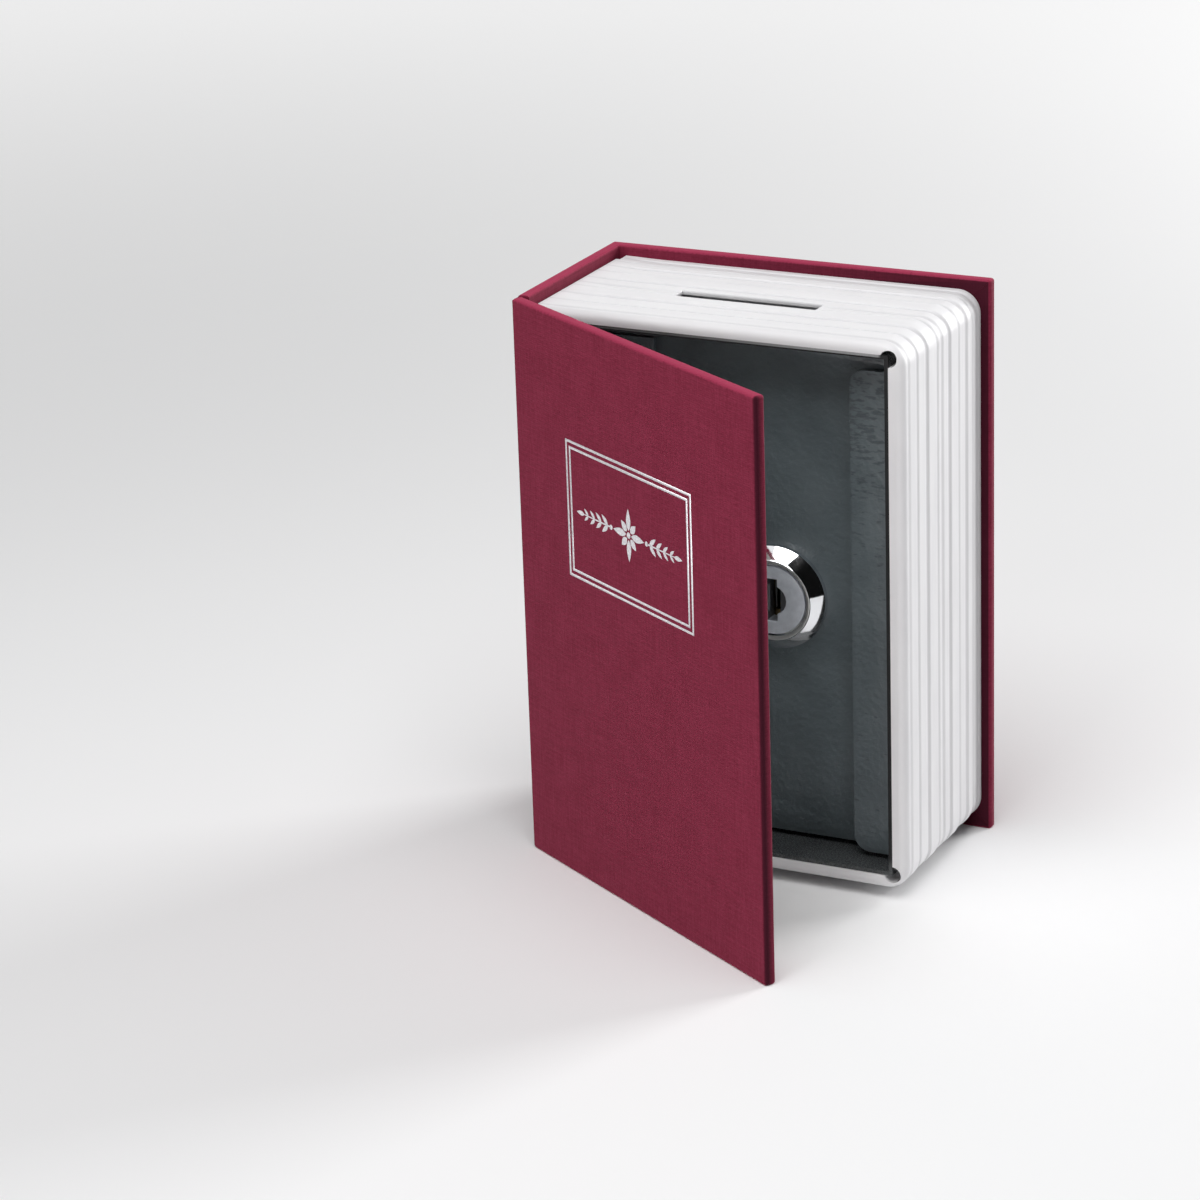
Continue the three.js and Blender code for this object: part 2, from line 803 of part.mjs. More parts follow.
function wafer(place) {
  const depth = waferDepth(place);
  const disc = discAlongY(waferRadius, depth, lockX, lockZ);
  const half = waferWidth / 2;
  const band = slab(around(lockX, half), depth, around(lockZ, waferRadius));
  const lug = slab([lockX, lockX + half + lugReach], depth, around(lockZ, lugHeight / 2));
  const windowHalf = waferWindowWidth / 2;
  const windowTall = waferWindowHeights[place] / 2;
  const window = slab(
    around(lockX, windowHalf),
    [depth[0] - overrun, depth[1] + overrun],
    around(lockZ, windowTall),
  );
  return carved(joined(shared(disc, band), lug), window);
}

// A coil between the wafer's lug and the end of its room
function waferSpring(place) {
  const [near, far] = waferDepth(place);
  const middleX = lockX + waferWidth / 2 + (lugReach + waferGap) / 2;
  const middleY = (near + far) / 2;
  const side = -waferSide(place);
  const start = lugHeight / 2 + springSeat + springWire;
  const rise = springEnd - springSeat - springWire - start;
  const steps = springTurns * springStepsPerTurn;
  const points = Array.from({ length: steps + 1 }, (_, step) => {
    const angle = (step / springStepsPerTurn) * 2 * Math.PI;
    return new THREE.Vector3(
      middleX + springRadius * Math.cos(angle),
      middleY + springRadius * Math.sin(angle),
      lockZ + side * (start + (rise * step) / steps),
    );
  });
  const circle = new THREE.Path().absarc(0, 0, springWire, 0, 2 * Math.PI, false);
  const section = new THREE.Shape(circle.getPoints(springSides).slice(1));
  const extrudePath = new THREE.CatmullRomCurve3(points);
  return new THREE.ExtrudeGeometry(section, { steps, extrudePath, bevelEnabled: false });
}

// A flat ring about the lock's axis
function ringAlongY(inner, outer, [y0, y1], sides) {
  const profile = [[inner, y0], [outer, y0], [outer, y1], [inner, y1], [inner, y0]];
  return turnedAlongY(profile, lockX, lockZ, sides);
}

function lockWasher() {
  const depth = [doorBack, doorBack + washerThickness];
  return ringAlongY(barrelRadius + plugGap, washerRadius, depth, roundSides);
}

function lockNut() {
  const start = doorBack + washerThickness;
  const end = start + nutThickness;
  const cornerRadius = nutAcrossFlats / 2 / Math.cos(Math.PI / nutSides);
  const hexagon = discAlongY(cornerRadius, [start, end], lockX, lockZ, nutSides);
  return carved(hexagon, discAlongY(barrelRadius + plugGap, through(start, end), lockX, lockZ));
}

// The cam hangs down when the lock is open
function lockCam() {
  const depth = [plugEnd, camBack];
  const arm = slab(
    around(lockX, camHalfWidth),
    depth,
    [lockZ - camReach + camHalfWidth, lockZ + camTail],
  );
  const tip = discAlongY(camHalfWidth, depth, lockX, lockZ - camReach + camHalfWidth);
  const top = discAlongY(camHalfWidth, depth, lockX, lockZ + camTail);
  const half = postSize / 2 + plugGap;
  const square = slab(around(lockX, half), through(plugEnd, camBack), around(lockZ, half));
  return carved(joined(arm, tip, top), square);
}

function camWasher() {
  const depth = [camBack, camBack + camWasherThickness];
  return ringAlongY(screwShankRadius + screwGap, camWasherRadius, depth, smallSides);
}

// A pan-head screw along y with its head at faceY, pointing the way of direction, and a cross in the head
function crossScrew(x, z, faceY, direction, head, shank) {
  const crown = faceY - direction * head.height;
  const rim = faceY - direction * head.height / 2;
  const tip = faceY + direction * shank.length;
  const profile = [
    [0, crown],
    [head.radius * crossShare, crown],
    [head.radius, rim],
    [head.radius, faceY],
    [shank.radius, faceY],
    [shank.radius, tip],
    [0, tip],
  ];
  const outline = direction > 0 ? profile : profile.reverse();
  const reach = head.radius * crossShare;
  const depth = [crown - direction * overrun, crown + direction * crossDepth].sort((a, b) => a - b);
  const half = crossWidth / 2;
  return carved(
    turnedAlongY(outline, x, z, smallSides),
    slab(around(x, reach), depth, around(z, half)),
    slab(around(x, half), depth, around(z, reach)),
  );
}

function camScrew() {
  const head = { radius: screwHeadRadius, height: screwHeadHeight };
  const shank = { radius: screwShankRadius, length: camWasherThickness + screwLength - screwTipGap };
  return crossScrew(lockX, lockZ, camBack + camWasherThickness, -1, head, shank);
}

function boxScrew([x, z]) {
  const head = { radius: boxScrewHeadRadius, height: boxScrewHeadHeight };
  const shank = { radius: boxScrewShankRadius, length: boxSheet + backWall - screwGap };
  return crossScrew(x, z, innerBack, 1, head, shank);
}

const finishes = {
  cloth: new THREE.MeshStandardMaterial({ color: 0x7d2a40, roughness: 0.75, metalness: 0 }),
  board: new THREE.MeshStandardMaterial({ color: 0x9a8f80, roughness: 0.9, metalness: 0 }),
  lining: new THREE.MeshStandardMaterial({ color: 0xe9e6df, roughness: 0.85, metalness: 0 }),
  pages: new THREE.MeshStandardMaterial({ color: 0xe8e6e4, roughness: 0.45, metalness: 0 }),
  powder: new THREE.MeshStandardMaterial({ color: 0x454c50, roughness: 0.5, metalness: 0.1 }),
  chrome: new THREE.MeshStandardMaterial({ color: 0xd8dadd, roughness: 0.08, metalness: 1 }),
  plug: new THREE.MeshStandardMaterial({ color: 0xb9bcc0, roughness: 0.3, metalness: 1 }),
  steel: new THREE.MeshStandardMaterial({ color: 0x9b9ea2, roughness: 0.35, metalness: 1 }),
  brass: new THREE.MeshStandardMaterial({ color: 0xb8923f, roughness: 0.3, metalness: 1 }),
};

function named(name, geometry, material) {
  const mesh = new THREE.Mesh(geometry, material);
  mesh.name = name;
  return mesh;
}

function caseGroup() {
  return new THREE.Group().add(
    named('case_cloth', caseCloth(), finishes.cloth),
    named('hinge_cloth', hingeCloth(), finishes.cloth),
    named('spine_board', spineBoard(), finishes.board),
    named('back_board', backBoard(), finishes.board),
    named('spine_lining', spineLining(), finishes.lining),
    named('back_lining', backLining(), finishes.lining),
  );
}

function frontCoverGroup() {
  const group = new THREE.Group().add(
    named('front_cloth', frontCloth(), finishes.cloth),
    named('front_board', frontBoard(), finishes.board),
    named('front_lining', frontLining(), finishes.lining),
  );
  group.rotation.z = -openAngle;
  return group;
}

function blockGroup() {
  const group = new THREE.Group().add(
    named('page_block', pageBlock(), finishes.pages),
    named('inner_box', innerBox(), finishes.powder),
    named('strike_plate', strikePlate(), finishes.steel),
    named('door_stop_lower', doorStop(stopHeightShares[0]), finishes.steel),
    named('door_stop_upper', doorStop(stopHeightShares[1]), finishes.steel),
    named('hinge_leaf_box', boxLeaf(), finishes.powder),
    named('hinge_pin', hingePin(), finishes.steel),
  );
  rivetHeights().forEach((z, place) => {
    group.add(named(`box_rivet_${place + 1}`, boxRivet(z), finishes.steel));
  });
  boxScrewPlaces().forEach((at, place) => {
    group.add(named(`box_screw_${place + 1}`, boxScrew(at), finishes.steel));
  });
  return group;
}

function doorGroup() {
  const group = new THREE.Group().add(
    named('door', doorPanel(), finishes.powder),
    named('hinge_leaf_door', doorLeaf(), finishes.powder),
    named('lock_body', lockBody(), finishes.chrome),
    named('lock_washer', lockWasher(), finishes.steel),
    named('lock_nut', lockNut(), finishes.steel),
    lockGroup(),
  );
  rivetHeights().forEach((z, place) => {
    group.add(named(`door_rivet_${place + 1}`, doorRivet(z), finishes.powder));
  });
  return group;
}

function lockGroup() {
  const group = new THREE.Group().add(
    named('lock_plug', lockPlug(), finishes.plug),
    named('lock_cam', lockCam(), finishes.steel),
    named('cam_washer', camWasher(), finishes.steel),
    named('cam_screw', camScrew(), finishes.steel),
  );
  for (let place = 0; place < waferCount; place += 1) {
    group.add(named(`wafer_${place + 1}`, wafer(place), finishes.brass));
    group.add(named(`wafer_spring_${place + 1}`, waferSpring(place), finishes.steel));
  }
  return group;
}

// The origin is under the middle of the whole book as it stands with its cover ajar
const bookSafe = new THREE.Group().add(caseGroup(), frontCoverGroup(), blockGroup(), doorGroup());
bookSafe.position.set(-coverWidth / 2, (openReach - bookThickness) / 2, 0);

export default bookSafe;
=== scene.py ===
import json
import math

import bmesh
import bpy
from mathutils import Matrix, Vector


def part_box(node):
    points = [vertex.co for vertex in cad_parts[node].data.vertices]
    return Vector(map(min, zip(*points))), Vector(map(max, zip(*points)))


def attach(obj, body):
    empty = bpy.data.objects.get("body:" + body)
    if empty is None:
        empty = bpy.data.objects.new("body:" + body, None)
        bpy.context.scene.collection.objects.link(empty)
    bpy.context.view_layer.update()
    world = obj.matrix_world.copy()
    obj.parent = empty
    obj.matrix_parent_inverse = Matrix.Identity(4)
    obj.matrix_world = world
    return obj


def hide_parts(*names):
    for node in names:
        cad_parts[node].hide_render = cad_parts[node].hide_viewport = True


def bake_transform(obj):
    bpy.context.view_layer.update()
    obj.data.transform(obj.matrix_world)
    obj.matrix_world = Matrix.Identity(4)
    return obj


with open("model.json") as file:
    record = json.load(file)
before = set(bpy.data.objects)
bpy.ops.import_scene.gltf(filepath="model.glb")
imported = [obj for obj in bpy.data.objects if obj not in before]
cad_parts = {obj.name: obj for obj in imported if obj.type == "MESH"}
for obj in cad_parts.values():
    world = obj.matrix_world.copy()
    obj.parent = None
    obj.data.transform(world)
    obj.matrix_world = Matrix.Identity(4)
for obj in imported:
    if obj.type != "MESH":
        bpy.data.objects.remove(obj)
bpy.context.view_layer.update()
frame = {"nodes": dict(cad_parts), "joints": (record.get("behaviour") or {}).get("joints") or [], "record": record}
mm = 0.001
print("frame loaded:", len(frame["nodes"]), "nodes")


# Node trees

# What a sign does: it adds one Math node for the two values
def sign(operation, reflected=False):
    def combine(one, other):
        values = (other, one) if reflected else (one, other)
        return one.graph.math(operation, *values)

    return combine


# A socket that can be used in sums
class Value:
    def __init__(self, graph, socket):
        self.graph = graph
        self.socket = socket

    __add__ = sign("ADD")
    __radd__ = sign("ADD", True)
    __sub__ = sign("SUBTRACT")
    __rsub__ = sign("SUBTRACT", True)
    __mul__ = sign("MULTIPLY")
    __rmul__ = sign("MULTIPLY", True)
    __truediv__ = sign("DIVIDE")
    __pow__ = sign("POWER")


# A shader or geometry tree under construction
class Graph:
    def __init__(self, tree):
        self.tree = tree

    def put(self, socket, value):
        if isinstance(value, Value):
            self.tree.links.new(value.socket, socket)
        elif socket.type == "RGBA" and len(value) == 3:
            socket.default_value = (*value, 1)
        else:
            socket.default_value = value

    # A node's type, its sockets' values or links, the socket to read and the settings, which are set first
    def node(self, kind, inputs=None, output=0, **settings):
        made = self.tree.nodes.new(kind)
        for name, value in settings.items():
            setattr(made, name, value)
        for name, value in (inputs or {}).items():
            self.put(made.inputs[name], value)
        return Value(self, made.outputs[output])

    def math(self, operation, *values):
        return self.node("ShaderNodeMath", dict(enumerate(values)), operation=operation)

    def join(self, x, y, z):
        return self.node("ShaderNodeCombineXYZ", {0: x, 1: y, 2: z})

    def split(self, vector):
        whole = self.node("ShaderNodeSeparateXYZ", {0: vector})
        return [Value(self, socket) for socket in whole.socket.node.outputs]

    def scale(self, vector, factor):
        return self.node("ShaderNodeVectorMath", {0: vector, "Scale": factor}, operation="SCALE")

    def length(self, vector):
        return self.node("ShaderNodeVectorMath", {0: vector}, "Value", operation="LENGTH")

    def ease(self, value, low, high, start=0.0, end=1.0):
        inputs = {0: value, 1: low, 2: high, 3: start, 4: end}
        return self.node("ShaderNodeMapRange", inputs, interpolation_type="SMOOTHSTEP")

    # From 0 to 1 between two distances from a place
    def fade(self, value, place, ends):
        return self.ease(value, place + ends[0], place + ends[1])

    def noise(self, at, scale, detail=2.0, roughness=0.5):
        inputs = {"Vector": at, "Scale": scale, "Detail": detail, "Roughness": roughness}
        return self.node("ShaderNodeTexNoise", inputs)

    # Noise with a scale of its own along each axis
    def grain(self, at, scales, detail=2.0, roughness=0.5):
        scaled = self.node("ShaderNodeVectorMath", {0: at, 1: scales}, operation="MULTIPLY")
        return self.noise(scaled, 1, detail, roughness)

    def tint(self, factor, low, high):
        return self.node("ShaderNodeMix", {0: factor, 6: low, 7: high}, 2, data_type="RGBA")

    def bump(self, height, distance, strength=1.0):
        return self.node("ShaderNodeBump", {"Height": height, "Distance": distance, "Strength": strength})

    # The point on the piece, in millimetres
    def place(self):
        return self.scale(self.node("ShaderNodeTexCoord", output="Object"), 1 / mm)

    # The point on the woven cloth, in millimetres along and across its threads
    def weave(self):
        return self.scale(self.node("ShaderNodeUVMap", uv_map="threads"), 1 / mm)

    def stored(self, name):
        return self.node("ShaderNodeAttribute", output="Fac", attribute_name=name)

    def moved(self, shape, **places):
        return self.node("GeometryNodeTransform", {"Geometry": shape, **places})

    def joined(self, shapes):
        whole = self.node("GeometryNodeJoinGeometry")
        for shape in shapes:
            self.tree.links.new(shape.socket, whole.socket.node.inputs[0])
        return whole


# A material with its recipe's name
def newLook(recipe, fixed):
    look = bpy.data.materials.new(recipe.__name__)
    look.use_nodes = True
    graph = Graph(look.node_tree)
    shader = look.node_tree.nodes["Principled BSDF"]
    for socket, value in {**fixed, **recipe(graph)}.items():
        graph.put(shader.inputs[socket], value)
    return look


# Finishes

# The darker and the paler tone, the relief's height in millimetres and its strength
finishes = {
    "cloth": ((0.152, 0.0120, 0.031), (0.206, 0.0215, 0.049), 0.04, 0.8),
    "board": ((0.20, 0.17, 0.13), (0.36, 0.32, 0.26), 0.06, 0.7),
    "lining": ((0.745, 0.73, 0.69), (0.80, 0.787, 0.75), 0.03, 0.6),
    "pages": ((0.755, 0.749, 0.765), (0.79, 0.785, 0.798), 0.035, 0.5),
    "powder": ((0.098, 0.123, 0.135), (0.121, 0.149, 0.162), 0.25, 0.8),
    "box": ((0.035, 0.038, 0.040), (0.055, 0.060, 0.062), 0.14, 0.8),
    "chrome": ((0.76, 0.77, 0.79), (0.84, 0.85, 0.87), 0.004, 0.4),
    "zinc": ((0.44, 0.45, 0.47), (0.62, 0.625, 0.64), 0.012, 0.6),
    # the brass is darkened, a painted shade for the wafers that sit in shade inside the lock
    "brass": ((0.17, 0.125, 0.06), (0.26, 0.19, 0.09), 0.008, 0.6),
    "foil": ((0.70, 0.69, 0.72), (0.88, 0.87, 0.89), 0.02, 0.5),
    "nickel": ((0.57, 0.605, 0.67), (0.68, 0.72, 0.79), 0.006, 0.7),
}
cloth = {
    "threadPitch": 0.42,
    "threadRun": 0.11,
    # the pale edge tone: from rubbing, and a painted highlight along the lit edges
    "paleEdge": (0.40, 0.045, 0.10),
    # the shaded tone is painted shade, which darkens the cloth where the stored shade says
    "shaded": (0.028, 0.0025, 0.0085),
}
pageDustAndShade = (0.50, 0.485, 0.505)


# What a finish feeds the shader; the mask mixes its two tones
def surface(g, finish, mask, roughness, height):
    deep, pale, relief, strength = finishes[finish]
    return {
        "Base Color": g.tint(mask, deep, pale),
        "Roughness": roughness,
        "Normal": g.bump(height, relief * mm, strength),
    }


def tinted(g, made, mask, tone):
    return {**made, "Base Color": g.tint(mask, made["Base Color"], tone)}


# 1 on top of the places where threads cross, 0 between them
def threadCrossing(g, at):
    across, along, _ = g.split(at)
    turn = math.pi / cloth["threadPitch"]
    return g.math("ABSOLUTE", g.math("SINE", across * turn) * g.math("SINE", along * turn))


def bookCloth(g):
    at = g.weave()
    across, along, _ = g.split(at)
    perThread = 1 / cloth["threadPitch"]
    crossing = threadCrossing(g, at)
    warp = g.noise(g.join(across * perThread, along * cloth["threadRun"], 0), 1, 1)
    weft = g.noise(g.join(across * cloth["threadRun"], along * perThread, 7), 1, 1)
    slub = g.noise(g.join(across * 0.9, along * 0.12, 3), 1, 2)
    mottle = g.noise(at, 0.16, 3)
    tone = warp * 0.42 + weft * 0.42 + slub * 0.1 + mottle * 0.36 + crossing * 0.1 - 0.18
    # paler towards the top and bottom edges: rubbing, and a painted highlight of the lit edges
    wear = g.stored("wear")
    paleEdge = wear * g.ease(g.noise(at, 1.7, 2) + wear * 0.4, 0.42, 0.85)
    roughness = 0.74 - crossing * 0.1 + paleEdge * 0.06
    made = surface(g, "cloth", g.ease(tone, 0.26, 0.78), roughness, crossing * 0.5 + warp * 0.3 + weft * 0.3)
    wornAndLit = tinted(g, made, paleEdge * 0.8, cloth["paleEdge"])
    # painted shade: the cloth is darkened towards the shaded tone by the stored amount
    return tinted(g, wornAndLit, g.stored("shade"), cloth["shaded"])


def linerBoard(g):
    at = g.place()
    fibre = g.grain(at, (1.4, 1.4, 0.35), 4, 0.65)
    speck = g.noise(at, 3.5, 2)
    tone = g.ease(fibre + speck * 0.3, 0.45, 0.85)
    return surface(g, "board", tone, 0.86 + fibre * 0.1, fibre + speck * 0.4)


def liningPaper(g):
    at = g.place()
    fibre = g.grain(at, (2.2, 2.2, 0.7), 4, 0.6)
    tone = g.ease(fibre * 0.6 + g.noise(at, 0.07, 2) * 0.5, 0.4, 0.7)
    return surface(g, "lining", tone, 0.82 + fibre * 0.12, fibre)


def pagePlastic(g):
    at = g.place()
    flow = g.grain(at, (0.05, 0.25, 0.05))
    fine = g.noise(at, 5.5, 2)
    clean = surface(g, "pages", g.ease(flow, 0.3, 0.7), 0.36 + fine * 0.14, fine * 0.5 + flow)
    # painted shade in the grooves, with some dirt: they are tinted darker
    return tinted(g, clean, g.stored("dust"), pageDustAndShade)


# Sprayed paint with a skin like an orange's
def sprayed(g, finish, gloss):
    at = g.place()
    peel = g.noise(at, 0.85, 2, 0.4)
    fine = g.noise(at, 3.6, 2)
    tone = g.ease(g.noise(at, 0.09, 2) + fine * 0.15, 0.38, 0.75)
    return surface(g, finish, tone, gloss + fine * 0.14, peel + fine * 0.16)


def powderCoat(g):
    return sprayed(g, "powder", 0.27)


doorLow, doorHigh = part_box("door")
boxLow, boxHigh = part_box("inner_box")
# where the box's front edge changes its tone, in millimetres from the box's front, top, right and bottom; its pale
# tone is a painted highlight and its dark tone painted shade
boxEdge = {
    "fromFront": (0.7, 0.4),
    "fromTop": (-0.56, -0.44),
    "fromRight": (-1.2, -2.2),
    "fromBottom": (1, 4),
    "leftAndRight": (0.55, 1.0),
    "paleEdge": (0.38, 0.39, 0.40),
    "dark": (0.005, 0.005, 0.006),
}


# The box's paint is blacker; along the top its front edge is painted grey as a highlight, and the rest of the
# front edge, away from the bottom, is painted dark as shade
def boxPaint(g):
    coat = sprayed(g, "box", 0.20)
    x, y, z = g.split(g.place())
    low, high = boxLow / mm, boxHigh / mm
    onEdge = g.fade(y, low.y, boxEdge["fromFront"])
    onTop = g.fade(z, high.z, boxEdge["fromTop"]) * g.fade(x, high.x, boxEdge["fromRight"])
    # painted highlight: the top of the front edge is paler grey, more so towards the right
    paleEdge = onEdge * onTop * g.ease(x, low.x, high.x, *boxEdge["leftAndRight"])
    # painted shade: the rest of the front edge, away from the bottom, is darkened nearly to black
    dark = onEdge * g.fade(z, low.z, boxEdge["fromBottom"]) * (1 - paleEdge)
    made = tinted(g, tinted(g, coat, paleEdge, boxEdge["paleEdge"]), dark, boxEdge["dark"])
    return {**made, "Roughness": coat["Roughness"] + dark * 0.5}


lip = {
    "wide": 8.6 * mm,
    "sheet": 1.0 * mm,
    "edge": (-0.1, 0.1),
    "depth": (1.3, 0.9),
    "pitScales": (0.5, 0.5, 1.5),
    "morePits": (50, 100, -0.06, 0.12),
    "pitEnds": (0.58, 0.74),
    "pitTone": (0.03, 0.036, 0.039),
}


# The door's paint is pitted on the pull lip, more so towards its top
def doorPaint(g):
    coat = powderCoat(g)
    at = g.place()
    x, y, z = g.split(at)
    onLip = g.fade(x, (doorHigh.x - lip["wide"]) / mm, lip["edge"]) * g.fade(y, doorLow.y / mm, lip["depth"])
    pit = g.grain(at, lip["pitScales"]) + g.ease(z, *lip["morePits"])
    pitted = onLip * g.ease(pit, *lip["pitEnds"])
    made = tinted(g, coat, pitted * 0.42, lip["pitTone"])
    return {**made, "Roughness": coat["Roughness"] + pitted * 0.4}


def brightChrome(g):
    at = g.place()
    smear = g.noise(at, 0.5, 3)
    scratch = g.grain(at, (0.6, 3, 9))
    return surface(g, "chrome", smear, 0.05 + g.ease(smear, 0.5, 0.8) * 0.06, scratch)


def zincPlate(g):
    at = g.place()
    cloud = g.noise(at, 0.8, 3)
    fine = g.noise(at, 7, 2)
    return surface(g, "zinc", g.ease(cloud, 0.3, 0.7), 0.26 + fine * 0.2, fine + cloud)


def satinBrass(g):
    drawn = g.grain(g.place(), (8, 1, 1), 3)
    return surface(g, "brass", g.ease(drawn, 0.3, 0.7), 0.26 + drawn * 0.16, drawn)


def silverFoil(g):
    at = g.weave()
    broken = g.noise(at, 2.2, 3)
    height = threadCrossing(g, at) + broken
    return surface(g, "foil", g.ease(broken, 0.35, 0.7), 0.30 + broken * 0.2, height)


lockLow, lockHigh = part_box("lock_body")
lockX = (lockLow.x + lockHigh.x) / 2
lockZ = (lockLow.z + lockHigh.z) / 2
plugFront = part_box("lock_plug")[0].y
keywayShade = {"reach": (4.6, 4.3), "depth": (0.15, 0.6), "tone": (0.03, 0.03, 0.032)}


# Satin nickel, turned on a lathe: rings about the lock's axis; inside the keyway's recess the face is darkened, a
# painted shade
def turnedFace(g):
    at = g.place()
    x, y, z = g.split(at)
    radius = g.length(g.join(x - lockX / mm, 0, z - lockZ / mm))
    ring = g.noise(g.join(radius * 9, 0, 0), 1, 2)
    # painted shade: darker inside the keyway's recess
    inside = g.ease(radius, *keywayShade["reach"]) * g.fade(y, plugFront / mm, keywayShade["depth"])
    tone = g.ease(g.noise(at, 0.6, 3) * 0.6 + ring * 0.4, 0.35, 0.65)
    return tinted(g, surface(g, "nickel", tone, 0.30 + ring * 0.12, ring), inside * 0.85, keywayShade["tone"])


metal = {"Metallic": 1.0}
looks = {
    "cloth": newLook(bookCloth, {"Sheen Weight": 0.02, "Sheen Roughness": 0.5, "Specular IOR Level": 0.08}),
    "board": newLook(linerBoard, {"Specular IOR Level": 0.2}),
    "lining": newLook(liningPaper, {"Specular IOR Level": 0.3}),
    "pages": newLook(pagePlastic, {"Specular IOR Level": 0.45}),
    "powder": newLook(powderCoat, {"Specular IOR Level": 0.5}),
    "boxPaint": newLook(boxPaint, {"Specular IOR Level": 0.5}),
    "doorPaint": newLook(doorPaint, {"Specular IOR Level": 0.5}),
    "bezel": newLook(brightChrome, metal),
    "plug": newLook(turnedFace, {"Metallic": 0.55}),
    "steel": newLook(zincPlate, metal),
    "brass": newLook(satinBrass, metal),
    "foil": newLook(silverFoil, metal),
}
print("finishes ready:", len(looks))


# Mesh helpers

def addPiece(name, mesh=None, look=None):
    piece = bpy.data.objects.new(name, mesh or bpy.data.meshes.new(name))
    bpy.context.scene.collection.objects.link(piece)
    if look:
        piece.data.materials.append(look)
    return piece


def fromWork(name, work, look=None):
    mesh = bpy.data.meshes.new(name)
    work.to_mesh(mesh)
    work.free()
    return addPiece(name, mesh, look)


# The modifiers' result becomes the piece's own mesh
def settle(piece):
    seen = piece.evaluated_get(bpy.context.evaluated_depsgraph_get())
    mesh = bpy.data.meshes.new_from_object(seen)
    piece.modifiers.clear()
    old = piece.data
    piece.data = mesh
    bpy.data.meshes.remove(old)
    return piece


def softShade(piece, degrees):
    piece.data.shade_smooth()
    piece.data.set_sharp_from_angle(angle=math.radians(degrees))
    return piece


# A piece in its CAD nodes' place, on their body
def belong(piece, body, slot, *nodes):
    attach(piece, body)
    if nodes:
        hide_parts(*nodes)
    return piece


def cutAway(piece, cutters):
    for cutter in cutters:
        step = piece.modifiers.new(cutter.name, "BOOLEAN")
        step.operation = "DIFFERENCE"
        step.solver = "EXACT"
        step.object = cutter
    settle(piece)
    for cutter in cutters:
        bpy.data.objects.remove(cutter)
    return piece


# A skin through rings of equal counts, closed at its ends or by going round to the first ring
def addLoft(work, rings, goesRound=False):
    rows = [[work.verts.new(point) for point in ring] for ring in rings]
    count = len(rings[0])
    for here, there in zip(rows, rows[1:] + rows[:goesRound]):
        for i in range(count):
            j = (i + 1) % count
            work.faces.new((here[i], here[j], there[j], there[i]))
    if not goesRound:
        work.faces.new(list(reversed(rows[0])))
        work.faces.new(rows[-1])
    return rows


# A piece of one or more skins, its faces turned outwards
def lofted(name, *skins, look=None, goesRound=False):
    work = bmesh.new()
    for rings in skins:
        addLoft(work, rings, goesRound)
    bmesh.ops.recalc_face_normals(work, faces=work.faces)
    return fromWork(name, work, look)


# A block's outline at a height, its sides moved out
def blockRing(low, high, z, out=0):
    x0, y0, x1, y1 = low[0] - out, low[1] - out, high[0] + out, high[1] + out
    return [(x0, y0, z), (x1, y0, z), (x1, y1, z), (x0, y1, z)]


# A cutter for each room, from its lowest and highest corner
def blockCutters(rooms):
    cutters = []
    for name, (low, high) in rooms.items():
        cutters.append(lofted(name, [blockRing(low, high, z) for z in (low[2], high[2])]))
    return cutters


# A block that flares out in a quarter round up to a level, as the mouth of a moulded slot does
def mouthCutter(name, low, high, level, flare, steps):
    bend = [(along, level - inset) for inset, along in rounding(flare, steps)]
    levels = [(0, low.z), *bend, (flare, high.z)]
    return lofted(name, [blockRing(low, high, z, out) for out, z in levels])


def turnsOf(sides):
    return [2 * math.pi * step / sides for step in range(sides)]


def discOutline(radius, x, z, sides):
    return [(x + radius * math.cos(a), z + radius * math.sin(a)) for a in turnsOf(sides)]


# An outline of x and z carried from one y to another
def prism(outline, ends):
    return [[(x, y, z) for x, z in outline] for y in ends]


# A quarter turn about a centre, counter-clockwise from a share of a full turn
def arc(centreA, centreB, radius, startShare, steps):
    angles = [2 * math.pi * (startShare + step / steps / 4) for step in range(steps + 1)]
    return [(centreA + radius * math.cos(a), centreB + radius * math.sin(a)) for a in angles]


# How far a rounded edge lies in, and how far along it has come, at each step
def rounding(radius, steps):
    angles = [math.pi / 2 * step / steps for step in range(steps + 1)]
    return [(radius * (1 - math.sin(a)), radius * (1 - math.cos(a))) for a in angles]


def bevel(work, edges, width, steps):
    bmesh.ops.bevel(
        work, geom=edges, offset=width, offset_type="OFFSET", segments=steps, profile=0.5,
        affect="EDGES", clamp_overlap=True,
    )


def sharpEdges(work, degrees):
    least = math.radians(degrees)
    return [e for e in work.edges if e.is_manifold and e.calc_face_angle(0) > least]


weld = {"merge": 0.001 * mm, "flatDegrees": 0.5, "sharpDegrees": 28, "near": 0.01 * mm, "shadeDegrees": 40}


# A finer copy of a CAD node; its edges' rounding and the radii of its bends are in millimetres
def refined(name, node, look, body, slot, edge, bends=(), steps=2):
    work = bmesh.new()
    work.from_mesh(frame["nodes"][node].data)
    bmesh.ops.remove_doubles(work, verts=work.verts, dist=weld["merge"])
    flat = math.radians(weld["flatDegrees"])
    bmesh.ops.dissolve_limit(work, angle_limit=flat, verts=work.verts, edges=work.edges)
    for x, y, radius, turns in bends:
        isNear = lambda v: math.hypot(v.co.x - x, v.co.y - y) < weld["near"]
        bevel(work, [e for e in work.edges if all(isNear(v) for v in e.verts)], radius * mm, turns)
    bevel(work, sharpEdges(work, weld["sharpDegrees"]), edge * mm, steps)
    piece = softShade(fromWork(name, work, looks[look]), weld["shadeDegrees"])
    return belong(piece, body, slot, node)


# Cloth covers

